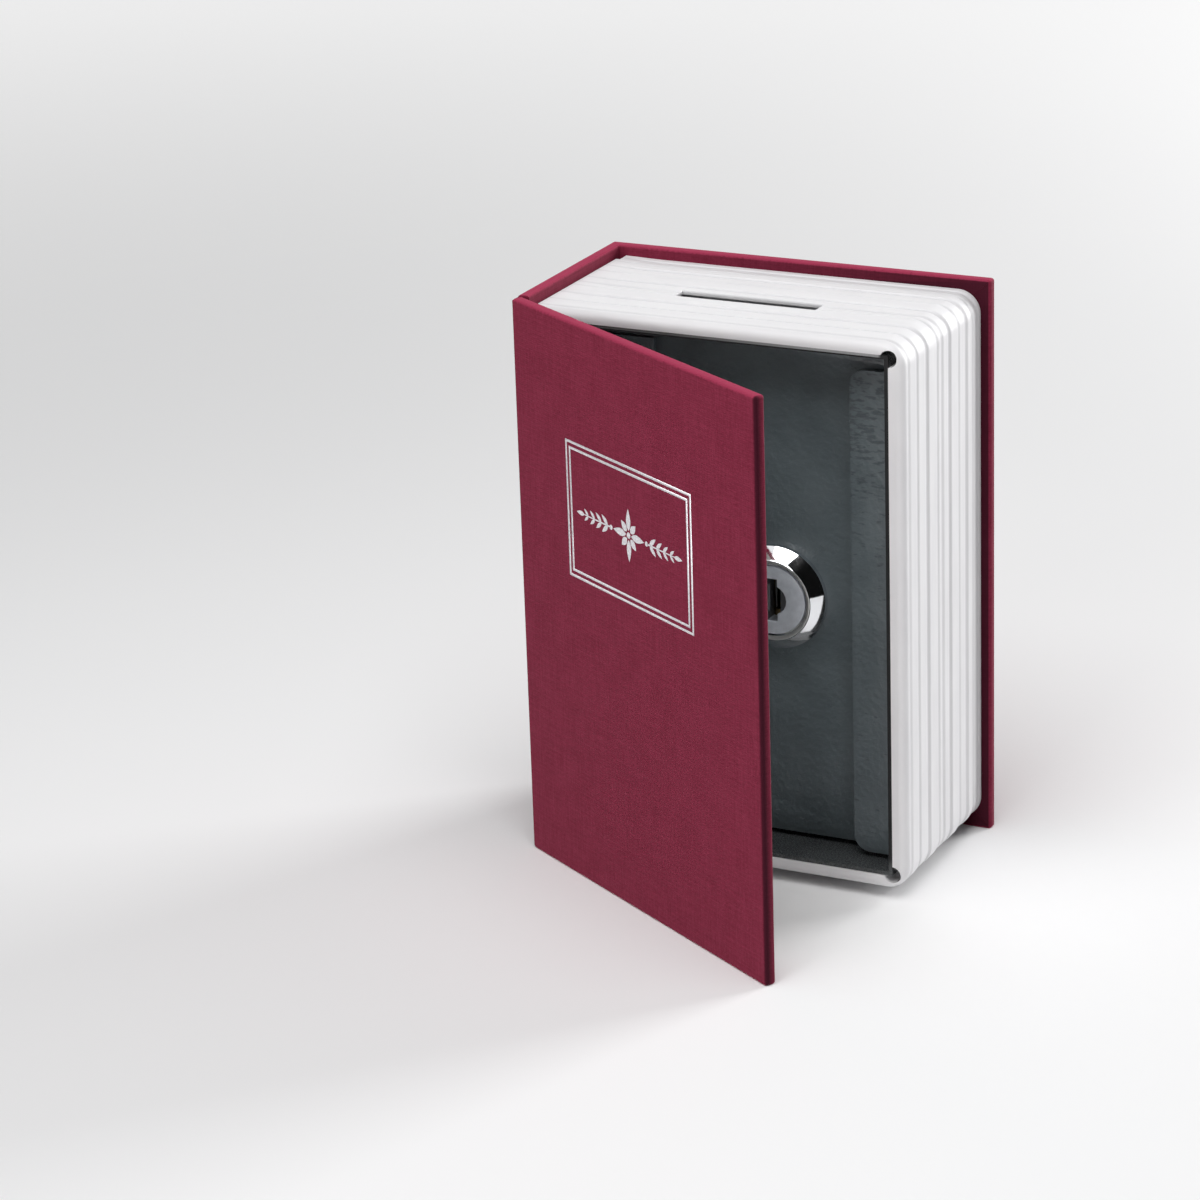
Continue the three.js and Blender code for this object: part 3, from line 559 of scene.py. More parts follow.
coverJoint = next(joint for joint in frame["joints"] if joint["name"] == "cover_hinge")
hingeLine = Vector(coverJoint["pos_m"])
openAngle = -math.radians(coverJoint["range_deg"][0])
caseLow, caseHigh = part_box("case_cloth")
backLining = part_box("back_lining")[0]
cover = {
    "left": caseLow.x,
    "right": caseHigh.x,
    "front": hingeLine.y,
    "back": caseHigh.y,
    "top": caseHigh.z,
    "thick": caseHigh.y - backLining.y,
    "spineStart": caseLow.y,
    "frontStart": 0.45 * mm,
    "sheet": 0.3 * mm,
    "glue": 0.25 * mm,
    "cornerRound": 0.7 * mm,
    "edgeRound": 0.6 * mm,
    "turnIn": 6 * mm,
    "paleEdgeReach": 0.75 * mm,
    "roundSteps": 8,
    "edgeSteps": 6,
    "creaseWidth": 0.22 * mm,
    "creaseDepth": 0.14 * mm,
    "insideShade": 0.84,
    "foreEdgeShade": 0.9,
    "foreEdgeReach": 0.65 * mm,
    "foreEdgeBlend": 0.4 * mm,
    "foreEdgeGrowth": 1.6,
    "shadeDegrees": 35,
}


# Carries an outline of x and y up the cover's full height, its ends rounded
def coverBody(name, outlineAt):
    low = rounding(cover["edgeRound"], cover["edgeSteps"])
    levels = low + [(inset, cover["top"] - along) for inset, along in reversed(low)]
    rings = [[(x, y, level) for x, y in outlineAt(inset)] for inset, level in levels]
    return lofted(name, rings, look=looks["cloth"])


# The thread directions on each face, in metres on the flat
def layThreads(mesh):
    layer = mesh.uv_layers.new(name="threads")
    for face in mesh.polygons:
        nx, ny, nz = (abs(part) for part in face.normal)
        for corner in face.loop_indices:
            at = mesh.vertices[mesh.loops[corner].vertex_index].co
            if nz > max(nx, ny):
                layer.data[corner].uv = (at.x, at.y)
            elif ny > nx:
                layer.data[corner].uv = (at.x, at.z)
            else:
                layer.data[corner].uv = (at.y, at.z)


# An amount on each point, which a finish reads
def mark(mesh, name, amountAt):
    marks = mesh.attributes.new(name, "FLOAT", "POINT")
    for vertex in mesh.vertices:
        marks.data[vertex.index].value = amountAt(vertex.co)


# Wear, with a painted highlight, grows towards the cover's free edges
def markWear(mesh, nearestEdge):
    mark(mesh, "wear", lambda at: max(0.0, 1 - nearestEdge(at) / cover["paleEdgeReach"]))


# Shallow folds in the turned-in cloth, from both free corners inwards; side is the way the face looks
def foldLines(y, side):
    cutters = []
    out = Vector((0, side, 0)) * cover["creaseDepth"]
    for name, z, up in (("foldLow", 0, 1), ("foldHigh", cover["top"], -1)):
        inward = Vector((-1, 0, up))
        corner = Vector((cover["right"], y, z))
        start = corner + inward * cover["cornerRound"]
        end = corner + inward * cover["turnIn"]
        across = (end - start).normalized().cross(Vector((0, 1, 0))) * cover["creaseWidth"] / 2
        rings = [[at + across + out, at - out, at - across + out] for at in (start, end)]
        cutters.append(lofted(name, rings))
    return cutters


def frontOutline(inset):
    radius, steps = cover["cornerRound"], cover["roundSteps"]
    x = cover["right"] - radius
    near = cover["front"]
    far = near + cover["thick"]
    start = cover["left"] + cover["frontStart"]
    return [
        (start, near + inset),
        *arc(x, near + radius, radius - inset, -1 / 4, steps),
        *arc(x, far - radius, radius - inset, 0, steps),
        (start, far - inset),
    ]


def clamped(share):
    return min(1.0, max(0.0, share))


# Painted shade: the fore-edge is darkest along the front and paler towards the inside
def foreEdgeShade(at):
    turned = clamped((at.x - cover["right"] + cover["foreEdgeReach"]) / cover["foreEdgeBlend"])
    nearness = 1 - (at.y - cover["front"]) / cover["thick"]
    return cover["foreEdgeShade"] * turned * min(1.0, (cover["foreEdgeGrowth"] * nearness) ** 2)


# From the closed cover's place to where it stands open
def swungOpen():
    there = Matrix.Translation(hingeLine)
    return there @ Matrix.Rotation(-openAngle, 4, "Z") @ there.inverted()


def frontCover():
    piece = coverBody("frontCoverCloth", frontOutline)
    near, right, top = cover["front"], cover["right"], cover["top"]
    sheet, turnIn = cover["sheet"], cover["turnIn"]
    far = near + cover["thick"]
    start = cover["left"] + cover["frontStart"] + sheet
    glued = far - sheet - cover["glue"]
    rooms = {
        "boardRoom": ((start, near + sheet, sheet), (right - sheet, far - sheet, top - sheet)),
        "liningRoom": ((start, glued, turnIn), (right - turnIn, far + sheet, top - turnIn)),
    }
    cutAway(piece, blockCutters(rooms) + foldLines(far, 1))
    layThreads(piece.data)
    markWear(piece.data, lambda at: min(at.z, top - at.z))
    mark(piece.data, "shade", foreEdgeShade)
    softShade(piece, cover["shadeDegrees"])
    piece.data.transform(swungOpen())
    return belong(piece, "front_cover", "cloth", "front_cloth")


def caseOutline(inset):
    radius, thick, steps = cover["cornerRound"], cover["thick"], cover["roundSteps"]
    left, right, back, start = cover["left"], cover["right"], cover["back"], cover["spineStart"]
    inner = back - thick
    return [
        (left + inset, start),
        (left + thick - inset, start),
        (left + thick - inset, inner + inset),
        *arc(right - radius, inner + radius, radius - inset, -1 / 4, steps),
        *arc(right - radius, back - radius, radius - inset, 0, steps),
        *arc(left + radius, back - radius, radius - inset, 1 / 4, steps),
    ]


def caseCover():
    piece = coverBody("spineAndBackCloth", caseOutline)
    left, right, back, top = cover["left"], cover["right"], cover["back"], cover["top"]
    sheet, glue, turnIn, thick = cover["sheet"], cover["glue"], cover["turnIn"], cover["thick"]
    inner = back - thick
    start = cover["spineStart"] + sheet
    spine = left + thick
    glued = inner + sheet + glue
    upper = top - turnIn
    rooms = {
        "spineBoardRoom": ((left + sheet, start, sheet), (spine - sheet, back - sheet, top - sheet)),
        "backBoardRoom": ((left + sheet, inner + sheet, sheet), (right - sheet, back - sheet, top - sheet)),
        "spineLiningRoom": ((spine - sheet - glue, start, turnIn), (spine + sheet, inner + sheet, upper)),
        "backLiningRoom": ((spine - sheet, inner - sheet, turnIn), (right - turnIn, glued, upper)),
    }
    cutAway(piece, blockCutters(rooms) + foldLines(inner, -1))
    layThreads(piece.data)
    markWear(piece.data, lambda at: min(at.z, top - at.z, math.hypot(at.x - left, at.y - back)))
    # painted shade: the cloth of the back cover's inner face, beside the page block, is darkened
    isInside = lambda at: at.y < inner + 0.05 * mm and at.x > spine + 0.3 * mm
    mark(piece.data, "shade", lambda at: cover["insideShade"] if isInside(at) else 0.0)
    softShade(piece, cover["shadeDegrees"])
    return belong(piece, "safe", "cloth", "case_cloth")


frontCover()
caseCover()
fold = {
    "radius": 0.7 * mm,
    "headDrop": 0.35 * mm,
    "headRound": 0.2 * mm,
    "headSteps": 3,
    "innerRoundShare": 0.9,
    "hem": 0.42 * mm,
    "steps": 14,
    "spineShares": (1, 0.8, 0.6, 0.4),
    "calm": 1.4 * mm,
    "paleEdgeSetBack": 0.3 * mm,
}


# The strip of cloth that is the cover's hinge: down the spine's edge, round the corner, out to the cover
def hingeStrip():
    outward = Vector((math.cos(openAngle), -math.sin(openAngle), 0))
    turn = math.pi / 2 - openAngle
    corner = Vector((hingeLine.x, hingeLine.y, 0))
    centre = corner + Vector((fold["radius"], fold["radius"] * math.tan(turn / 2), 0))
    coverStart = corner + outward * cover["frontStart"]
    down = Vector((0, cover["spineStart"] - hingeLine.y, 0))
    path = [corner + down * share for share in fold["spineShares"]]
    facing = [Vector((-1, 0, 0))] * len(path)
    for step in range(fold["steps"] + 1):
        angle = math.pi + turn * step / fold["steps"]
        facing.append(Vector((math.cos(angle), math.sin(angle), 0)))
        path.append(centre + facing[-1] * fold["radius"])
    path.append(coverStart)
    facing.append(facing[-1])
    drop, hem = fold["headDrop"], fold["hem"]
    levels = [(inset, drop + along, hem) for inset, along in rounding(fold["headRound"], fold["headSteps"])]
    levels += [(0, cover["turnIn"] - cover["sheet"], hem), (0, cover["turnIn"], cover["sheet"])]
    levels += [(inset, cover["top"] - z, depth) for inset, z, depth in reversed(levels)]
    rings = []
    for inset, z, depth in levels:
        up = Vector((0, 0, z))
        outer = [p - n * inset + up for p, n in zip(path, facing)]
        inner = [p - n * (depth - inset * fold["innerRoundShare"]) + up for p, n in zip(path, facing)]
        rings.append(outer + inner[::-1])
    piece = lofted("hingeStripCloth", rings, look=looks["cloth"])
    layThreads(piece.data)
    markWear(piece.data, lambda at: min(at.z, cover["top"] - at.z) + fold["paleEdgeSetBack"])
    softShade(piece, 50)
    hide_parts("hinge_cloth")
    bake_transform(piece)
    return piece


hingeStrip()
print("covers made")


# Foil on the front cover

foil = {
    "left": 18.1 * mm,
    "right": 60.7 * mm,
    "bottom": 63.8 * mm,
    "top": 91.0 * mm,
    "ruleGap": 1.2 * mm,
    "ruleWidth": 0.5 * mm,
    "thick": 0.1 * mm,
    "proud": 0.035 * mm,
}


# A tree with named inputs, all numbers but the others, which name their kind; the recipe returns the geometry
def growTree(name, recipe, numbers, **others):
    tree = bpy.data.node_groups.new(name, "GeometryNodeTree")
    kinds = {"Geometry": "Geometry", **dict.fromkeys(numbers, "Float"), **others, "Material": "Material"}
    for label, kind in kinds.items():
        tree.interface.new_socket(label, in_out="INPUT", socket_type="NodeSocket" + kind)
    tree.interface.new_socket("Geometry", in_out="OUTPUT", socket_type="NodeSocketGeometry")
    graph = Graph(tree)
    source = tree.nodes.new("NodeGroupInput")
    given = {socket.name: Value(graph, socket) for socket in source.outputs if socket.name}
    shape = graph.node("GeometryNodeRealizeInstances", {"Geometry": recipe(graph, given)})
    shape = graph.node("GeometryNodeSetMaterial", {"Geometry": shape, "Material": given["Material"]})
    graph.put(tree.nodes.new("NodeGroupOutput").inputs["Geometry"], shape)
    return tree


def runTree(piece, tree, values):
    step = piece.modifiers.new(tree.name, "NODES")
    step.node_group = tree
    for item in tree.interface.items_tree:
        if item.in_out == "INPUT" and item.name in values:
            step[item.identifier] = values[item.name]
    return settle(piece)


def rectangle(g, width, height):
    sizes = {"Width": width, "Height": height}
    return g.node("GeometryNodeCurvePrimitiveQuadrilateral", sizes, mode="RECTANGLE")


# Two thin rules, one inside the other
def doubleRule(g, given):
    width, height, gap = given["Width"], given["Height"], given["Gap"] * 2
    both = g.joined([rectangle(g, width, height), rectangle(g, width - gap, height - gap)])
    # a sharp corner narrows the swept line by the root of two
    section = rectangle(g, given["Line"] * math.sqrt(2), given["Thick"])
    rules = g.node("GeometryNodeCurveToMesh", {"Curve": both, "Profile Curve": section})
    return g.moved(rules, Translation=given["Centre"], Rotation=(math.pi / 2, 0, 0))


ruleTree = growTree("foilRules", doubleRule, ["Width", "Height", "Gap", "Line", "Thick"], Centre="Vector")
foilMiddle = Vector((
    cover["left"] + (foil["left"] + foil["right"]) / 2,
    cover["front"] - foil["proud"] + foil["thick"] / 2,
    (foil["bottom"] + foil["top"]) / 2,
))


def finishFoil(piece):
    layThreads(piece.data)
    piece.data.transform(swungOpen())
    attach(piece, "front_cover")


finishFoil(runTree(addPiece("foilRules"), ruleTree, {
    "Width": foil["right"] - foil["left"],
    "Height": foil["top"] - foil["bottom"],
    "Gap": foil["ruleGap"],
    "Line": foil["ruleWidth"],
    "Thick": foil["thick"],
    "Centre": foilMiddle,
    "Material": looks["foil"],
}))

# A small bookbinder's ornament in place of words; sizes and places in millimetres from the frame's middle
ornament = {
    "petals": 8,
    "longPetal": 4.4,
    "shortPetal": 2.6,
    "petalWide": 1.5,
    "petalInset": 0.9,
    "button": 0.62,
    "sprigLeaves": 5,
    "sprigPitch": 2.3,
    "leafLong": 2.7,
    "leafWide": 0.95,
    "leafStart": 0.9,
    "leafLean": 38,
    "leafShrink": 0.11,
    "leafRootShare": 0.5,
    "leafFullness": 0.8,
    "leafSteps": 10,
    "stemStart": 6.3,
    "stemWide": 0.34,
    "stemEndShare": 0.6,
    "bead": 0.5,
    "beadGap": 0.2,
    "roundSides": 20,
}


def leafOutline(long, wide, turn, x, z):
    steps, full = ornament["leafSteps"], ornament["leafFullness"]
    upper = [(long * t / steps, wide / 2 * math.sin(math.pi * (t / steps) ** full)) for t in range(steps + 1)]
    lower = [(a, -b) for a, b in reversed(upper[1:-1])]
    c, s = math.cos(turn), math.sin(turn)
    return [(x + a * c - b * s, z + a * s + b * c) for a, b in upper + lower]


def ornamentOutlines():
    sides = ornament["roundSides"]
    shapes = [discOutline(ornament["button"], 0, 0, sides)]
    for place, turn in enumerate(turnsOf(ornament["petals"])):
        petal = ornament["shortPetal" if place % 2 else "longPetal"]
        x, z = ornament["petalInset"] * math.cos(turn), ornament["petalInset"] * math.sin(turn)
        shapes.append(leafOutline(petal, ornament["petalWide"], turn, x, z))
    long, wide = ornament["leafLong"], ornament["leafWide"]
    leaves = ornament["sprigLeaves"] - 1
    start = ornament["stemStart"]
    end = start + ornament["sprigPitch"] * leaves
    half = ornament["stemWide"] / 2
    tip = half * ornament["stemEndShare"]
    root = half * ornament["leafRootShare"]
    for side in (-1, 1):
        shapes.append([(side * start, -half), (side * end, -tip), (side * end, tip), (side * start, half)])
        shapes.append(discOutline(ornament["bead"], side * (start - ornament["beadGap"]), 0, sides))
        shapes.append(leafOutline(long, wide, 0 if side > 0 else math.pi, side * end, 0))
        for place in range(leaves):
            x = side * (start + ornament["leafStart"] + ornament["sprigPitch"] * place)
            shrunk = 1 - ornament["leafShrink"] * place
            for up in (-1, 1):
                lean = math.radians(ornament["leafLean"]) * up
                turn = lean if side > 0 else math.pi - lean
                shapes.append(leafOutline(long * shrunk, wide * shrunk, turn, x, up * root))
    return shapes


def foilOrnament():
    front = cover["front"] - foil["proud"]
    skins = []
    for shape in ornamentOutlines():
        flat = [(foilMiddle.x + a * mm, foilMiddle.z + b * mm) for a, b in shape]
        skins.append(prism(flat, (front, front + foil["thick"])))
    return lofted("foilOrnament", *skins, look=looks["foil"])


finishFoil(foilOrnament())
print("foil made")


# Page block

blockLow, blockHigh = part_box("page_block")
pages = {
    "corner": 4.8 * mm,
    "spineCorner": 0.5 * mm,
    "rimFillet": 1.7 * mm,
    "rimSteps": 8,
    "grooveDepth": 0.6 * mm,
    "grooveHalf": 0.5 * mm,
    "widerAtSide": 0.9,
    "shallowerAtSide": 0.52,
    "fade": 10 * mm,
    "runShares": (0.015, 0.03, 0.05, 0.07, 0.09, 0.115, 0.14, 0.3, 0.5, 0.75),
    "ringStep": 0.15 * mm,
    "arcSteps": 14,
    "spineSteps": 3,
    "waviness": 0.02 * mm,
    "wavesPerMetre": 45.0,
    "dust": 0.4,
    "boxClearance": 0.1 * mm,
    "notchRadius": 1.7 * mm,
    "notchSides": 48,
    "notchDepth": 6 * mm,
    "notchRise": 0.35 * mm,
    "notchDrop": 0.75 * mm,
    "slotStart": 25.4 * mm,
    "slotLength": 29.7 * mm,
    "slotNear": 19.4 * mm,
    "slotWidth": 4.2 * mm,
    "slotLip": 1.0 * mm,
    "slotRelief": 2.5 * mm,
    "slotCut": 6 * mm,
    "slotRound": 0.5 * mm,
    "rebateWidth": 1.2 * mm,
    "rebateDepth": 3 * mm,
    "mouthRound": 0.3 * mm,
    "roundSteps": 5,
    "overrun": 1 * mm,
    "shadeDegrees": 35,
    # place along the depth, depth of the groove, set-back of the band behind, all as shares
    "grooveShares": [
        (0.06, 0.45, 0), (0.174, 1, 0.25), (0.295, 0.9, 0), (0.431, 1, 0.35), (0.491, 0.75, 0.2),
        (0.582, 1, 0), (0.708, 1, 0.4), (0.806, 0.9, 0.1), (0.892, 1, 0.5), (0.955, 0.8, 0.3),
    ],
}


# The bands are pressed in fully only some way from the spine
def bandFade(x):
    share = clamped((x - blockLow.x) / pages["fade"])
    return share * share * (3 - 2 * share)


# The block's outline in x and z, and the way out of it at each point
def pageOutline(inset):
    points, ways = [], []
    run = [blockLow.x + share * (blockHigh.x - blockLow.x) for share in pages["runShares"]]
    corners = [
        (blockLow.x, blockLow.z, pages["spineCorner"], 1 / 2),
        (blockHigh.x, blockLow.z, pages["corner"], 3 / 4),
        (blockHigh.x, blockHigh.z, pages["corner"], 0),
        (blockLow.x, blockHigh.z, pages["spineCorner"], 1 / 4),
    ]
    for x, z, radius, turn in corners:
        atSpine = x == blockLow.x
        atFoot = z == blockLow.z
        cx = x + radius if atSpine else x - radius
        cz = z + radius if atFoot else z - radius
        for a, b in arc(0, 0, 1, turn, pages["spineSteps" if atSpine else "arcSteps"]):
            points.append((cx + a * (radius - (0 if atSpine else inset)), cz + b * (radius - inset)))
            ways.append((0.0, 0.0) if atSpine else (a, b))
        if atSpine == atFoot:
            side = -1 if atSpine else 1
            for x in run if atSpine else reversed(run):
                points.append((x, z - side * inset))
                ways.append((0.0, side * bandFade(x)))
    if pages["spineCorner"] < inset:
        points = [(x, max(blockLow.z + inset, min(blockHigh.z - inset, z))) for x, z in points]
    return points, ways


def plainBlock():
    fillet = pages["rimFillet"]
    depth = blockHigh.y - blockLow.y - fillet
    levels = [(inset, blockLow.y + along) for inset, along in rounding(fillet, pages["rimSteps"])]
    count = int(depth / pages["ringStep"])
    levels += [(0, blockLow.y + fillet + depth * step / count) for step in range(1, count + 1)]
    work = bmesh.new()
    way = work.verts.layers.float_vector.new("wayOut")
    rings, ways = [], []
    for inset, y in levels:
        points, out = pageOutline(inset)
        rings.append([(x, y, z) for x, z in points])
        ways.append(out)
    for row, out in zip(addLoft(work, rings), ways):
        for vertex, (a, b) in zip(row, out):
            vertex[way] = (a, 0, b)
    bmesh.ops.recalc_face_normals(work, faces=work.faces)
    return fromWork("pageBlock", work)


# Presses the grooves between the bands of pages into a plain block
def pageBands(g, given):
    at = g.node("GeometryNodeInputPosition")
    _, y, _ = g.split(at)
    way = g.node("GeometryNodeInputNamedAttribute", {"Name": "wayOut"}, data_type="FLOAT_VECTOR")
    side = g.math("ABSOLUTE", g.split(way)[0])
    half = given["Groove Half Width"] * (side * pages["widerAtSide"] + 1)
    sunk = dust = band = 0
    for place, depthShare, nextBand in pages["grooveShares"]:
        off = (y - given["Front"] - given["Depth"] * place) / half
        step = g.ease(off, -1.0, 1.0, 0.0, nextBand - band)
        inside = g.math("MAXIMUM", 1 - off * off, 0.0) ** 1.5
        hollow = inside * (depthShare - (band + nextBand) / 2) * (1 - side * pages["shallowerAtSide"])
        sunk = sunk + step + hollow
        dust = dust + inside
        band = nextBand
    waves = {"Vector": at, "W": given["Seed"], "Scale": pages["wavesPerMetre"]}
    drift = g.node("ShaderNodeTexNoise", waves, noise_dimensions="4D")
    sunk = sunk * given["Groove Depth"] + drift * given["Waviness"]
    # the mark that darkens the grooves: painted shade, with some dirt
    marks = {"Geometry": given["Geometry"], "Name": "dust", "Value": dust * given["Dust"]}
    marked = g.node("GeometryNodeStoreNamedAttribute", marks)
    return g.node("GeometryNodeSetPosition", {"Geometry": marked, "Offset": g.scale(way, sunk * -1)})


bandInputs = ["Front", "Depth", "Groove Depth", "Groove Half Width", "Waviness", "Dust", "Seed"]
bandTree = growTree("pageBands", pageBands, bandInputs)


# Rounds the opening's edge in the block's front
def roundMouth(piece):
    work = bmesh.new()
    work.from_mesh(piece.data)
    isFront = lambda vertex: abs(vertex.co.y - blockLow.y) < 0.1 * mm
    rim = [edge for edge in sharpEdges(work, 40) if all(isFront(vertex) for vertex in edge.verts)]
    bevel(work, rim, pages["mouthRound"], 4)
    work.to_mesh(piece.data)
    work.free()


def pageBlock():
    piece = runTree(plainBlock(), bandTree, {
        "Front": blockLow.y,
        "Depth": blockHigh.y - blockLow.y,
        "Groove Depth": pages["grooveDepth"],
        "Groove Half Width": pages["grooveHalf"],
        "Waviness": pages["waviness"],
        "Dust": pages["dust"],
        "Seed": 3.0,
        "Material": looks["pages"],
    })
    clear, past = pages["boxClearance"], pages["overrun"]
    front, back = blockLow.y, blockHigh.y
    low = Vector((boxLow.x - clear, front - past, boxLow.z - clear))
    high = Vector((boxHigh.x + clear, boxHigh.y, boxHigh.z + clear))
    slotLow = Vector((cover["left"] + pages["slotStart"], cover["front"] + pages["slotNear"], high.z - past))
    slotHigh = slotLow + Vector((pages["slotLength"], pages["slotWidth"], pages["slotCut"]))
    reach = Vector((pages["slotRelief"], pages["slotRelief"], 0))
    reliefHigh = Vector((slotHigh.x, slotHigh.y, blockHigh.z - pages["slotLip"])) + reach
    rebateLow = (blockLow.x - past, back - pages["rebateDepth"], blockLow.z - past)
    rebateHigh = (blockLow.x + pages["rebateWidth"], back + past, blockHigh.z + past)
    rooms = {
        "boxRoom": (low, high),
        "slotRelief": (slotLow - reach, reliefHigh),
        "rebate": (rebateLow, rebateHigh),
    }
    cutters = blockCutters(rooms)
    mouth = pages["slotRound"], pages["roundSteps"]
    cutters.insert(1, mouthCutter("coinSlot", slotLow, slotHigh, blockHigh.z, *mouth))
    for x in (low.x, high.x):
        for z in (low.z + pages["notchRise"], high.z - pages["notchDrop"]):
            outline = discOutline(pages["notchRadius"], x, z, pages["notchSides"])
            cutters.append(lofted("notch", prism(outline, (front - past, front + pages["notchDepth"]))))
    cutAway(piece, cutters)
    roundMouth(piece)
    softShade(piece, pages["shadeDegrees"])
    return belong(piece, "safe", "pages", "page_block")


pageBlock()
print("page block made")


# Steel box and door

# place, radius in millimetres and steps of each of the door's bends
doorBends = [
    (doorHigh.x, doorLow.y, 1.1, 6),
    (doorHigh.x, doorHigh.y, 1.3, 6),
    (doorHigh.x - lip["sheet"], doorLow.y + lip["sheet"], 0.35, 4),
]
refined("steelBox", "inner_box", "boxPaint", "safe", "powder", 0.37, steps=5)
refined("doorPanel", "door", "doorPaint", "safe_door", "powder", 0.22, doorBends)
refined("hingeLeafBox", "hinge_leaf_box", "powder", "safe", "powder", 0.14)
refined("hingeLeafDoor", "hinge_leaf_door", "powder", "safe_door", "powder", 0.14)
refined("hingePin", "hinge_pin", "steel", "safe", "steel", 0.12)
refined("strikePlate", "strike_plate", "steel", "safe", "steel", 0.2)
for level in ("lower", "upper"):
    refined("doorStop" + level.title(), "door_stop_" + level, "steel", "safe", "steel", 0.2)
print("steel box and door made")


# Rivets and screws: one shape, set at each place

# how full the heads' shoulders are, less is fuller, and the cross as shares of the screw's head
heads = {"rivet": 0.75, "tail": 0.6, "screw": 0.42, "crossLong": 1.25, "crossDeep": 1.3}


def headShape(g, radius, height, fullness):
    ball = g.node("GeometryNodeMeshUVSphere", {"Segments": 24, "Rings": 12, "Radius": 1.0})
    x, y, z = g.split(g.node("GeometryNodeInputPosition"))
    rise = g.math("MAXIMUM", z, 0.0) ** fullness
    flat = g.join(x * radius, y * radius, rise * height)
    return g.node("GeometryNodeSetPosition", {"Geometry": ball, "Position": flat})


def shank(g, given):
    length = given["Length"]
    sizes = {"Vertices": 20, "Radius": given["Shank Radius"], "Depth": length}
    made = g.node("GeometryNodeMeshCylinder", sizes)
    return g.moved(made, Translation=g.join(0.0, 0.0, length * -0.5))


# Sets a shape that points along z on every point of the mesh, each turned by chance about its own axis
def setOnPoints(g, given, shape):
    chance = g.node("FunctionNodeRandomValue", {"Max": 6.283, "Seed": given["Seed"]}, 1, data_type="FLOAT")
    spin = g.node("FunctionNodeAxisAngleToRotation", {"Axis": (0, 0, 1), "Angle": chance})
    aim = g.node("FunctionNodeEulerToRotation", {"Euler": given["Aim"]})
    turn = g.node("FunctionNodeRotateRotation", {0: aim, 1: spin}, rotation_space="LOCAL")
    places = {"Points": given["Geometry"], "Instance": shape, "Rotation": turn}
    return g.node("GeometryNodeInstanceOnPoints", places)


def rivetShape(g, given):
    head = headShape(g, given["Head Radius"], given["Head Height"], heads["rivet"])
    tail = headShape(g, given["Tail Radius"], given["Tail Height"], heads["tail"])
    away = g.join(0.0, 0.0, given["Length"] * -1)
    tail = g.moved(tail, Translation=away, Rotation=(math.pi, 0, 0))
    return setOnPoints(g, given, g.joined([head, shank(g, given), tail]))


def screwShape(g, given):
    radius, height, thin = given["Head Radius"], given["Head Height"], given["Cross Width"]
    long, deep = radius * heads["crossLong"], height * heads["crossDeep"]
    head = headShape(g, radius, height, heads["screw"])
    cut = g.node("GeometryNodeMeshBoolean", {"Mesh 1": head}, operation="DIFFERENCE")
    for x, y in ((long, thin), (thin, long)):
        bar = g.node("GeometryNodeMeshCube", {"Size": g.join(x, y, deep)})
        bar = g.moved(bar, Translation=g.join(0.0, 0.0, height))
        g.tree.links.new(bar.socket, cut.socket.node.inputs["Mesh 2"])
    return setOnPoints(g, given, g.joined([cut, shank(g, given)]))


headSizes = ["Head Radius", "Head Height", "Shank Radius", "Length"]
rivetSizes = [*headSizes, "Tail Radius", "Tail Height"]
screwSizes = [*headSizes, "Cross Width"]
rivets = growTree("rivets", rivetShape, rivetSizes, Aim="Vector", Seed="Int"), rivetSizes
screws = growTree("screws", screwShape, screwSizes, Aim="Vector", Seed="Int"), screwSizes
# the axis that a head looks along, which way, and the turn of z to there
front = (1, -1, (math.pi / 2, 0, 0))
rear = (1, 1, (-math.pi / 2, 0, 0))
right = (0, 1, (0, math.pi / 2, 0))


# One mesh for a body's fasteners, set where their CAD nodes are; the sizes are in millimetres
def fasteners(name, nodes, kind, way, body, slot, seed, *sizes):
    tree, labels = kind
    axis, side, aim = way
    values = {label: size * mm for label, size in zip(labels, sizes)}
    places = []
    for low, high in map(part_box, nodes):
        at = (low + high) / 2
        at[axis] = (high if side > 0 else low)[axis] - side * values["Head Height"]
        places.append(at)
    mesh = bpy.data.meshes.new(name)
    mesh.from_pydata(places, [], [])
    values.update({"Aim": aim, "Seed": seed, "Material": looks[slot]})
    piece = runTree(addPiece(name, mesh), tree, values)
    return belong(softShade(piece, 40), body, slot, *nodes)


doorRivets = [f"door_rivet_{n}" for n in (1, 2, 3)]
boxRivets = [f"box_rivet_{n}" for n in (1, 2, 3)]
boxScrews = [f"box_screw_{n}" for n in (1, 2, 3, 4)]
# head radius, head height, shank radius, length, then the tail's radius and height or the cross's width
fasteners("doorRivets", doorRivets, rivets, front, "safe_door", "powder", 1, 1.6, 0.5, 0.9, 1.8, 1.5, 0.5)
fasteners("boxRivets", boxRivets, rivets, right, "safe", "steel", 2, 1.6, 0.5, 0.88, 1.6, 0.9, 0.04)
fasteners("boxScrews", boxScrews, screws, front, "safe", "steel", 3, 2.8, 1.4, 1.3, 2.9, 0.6)
fasteners("camScrew", ["cam_screw"], screws, rear, "turning_plug", "steel", 4, 3.1, 2.0, 1.5, 4.2, 0.7)
print("rivets and screws made")


# Lock

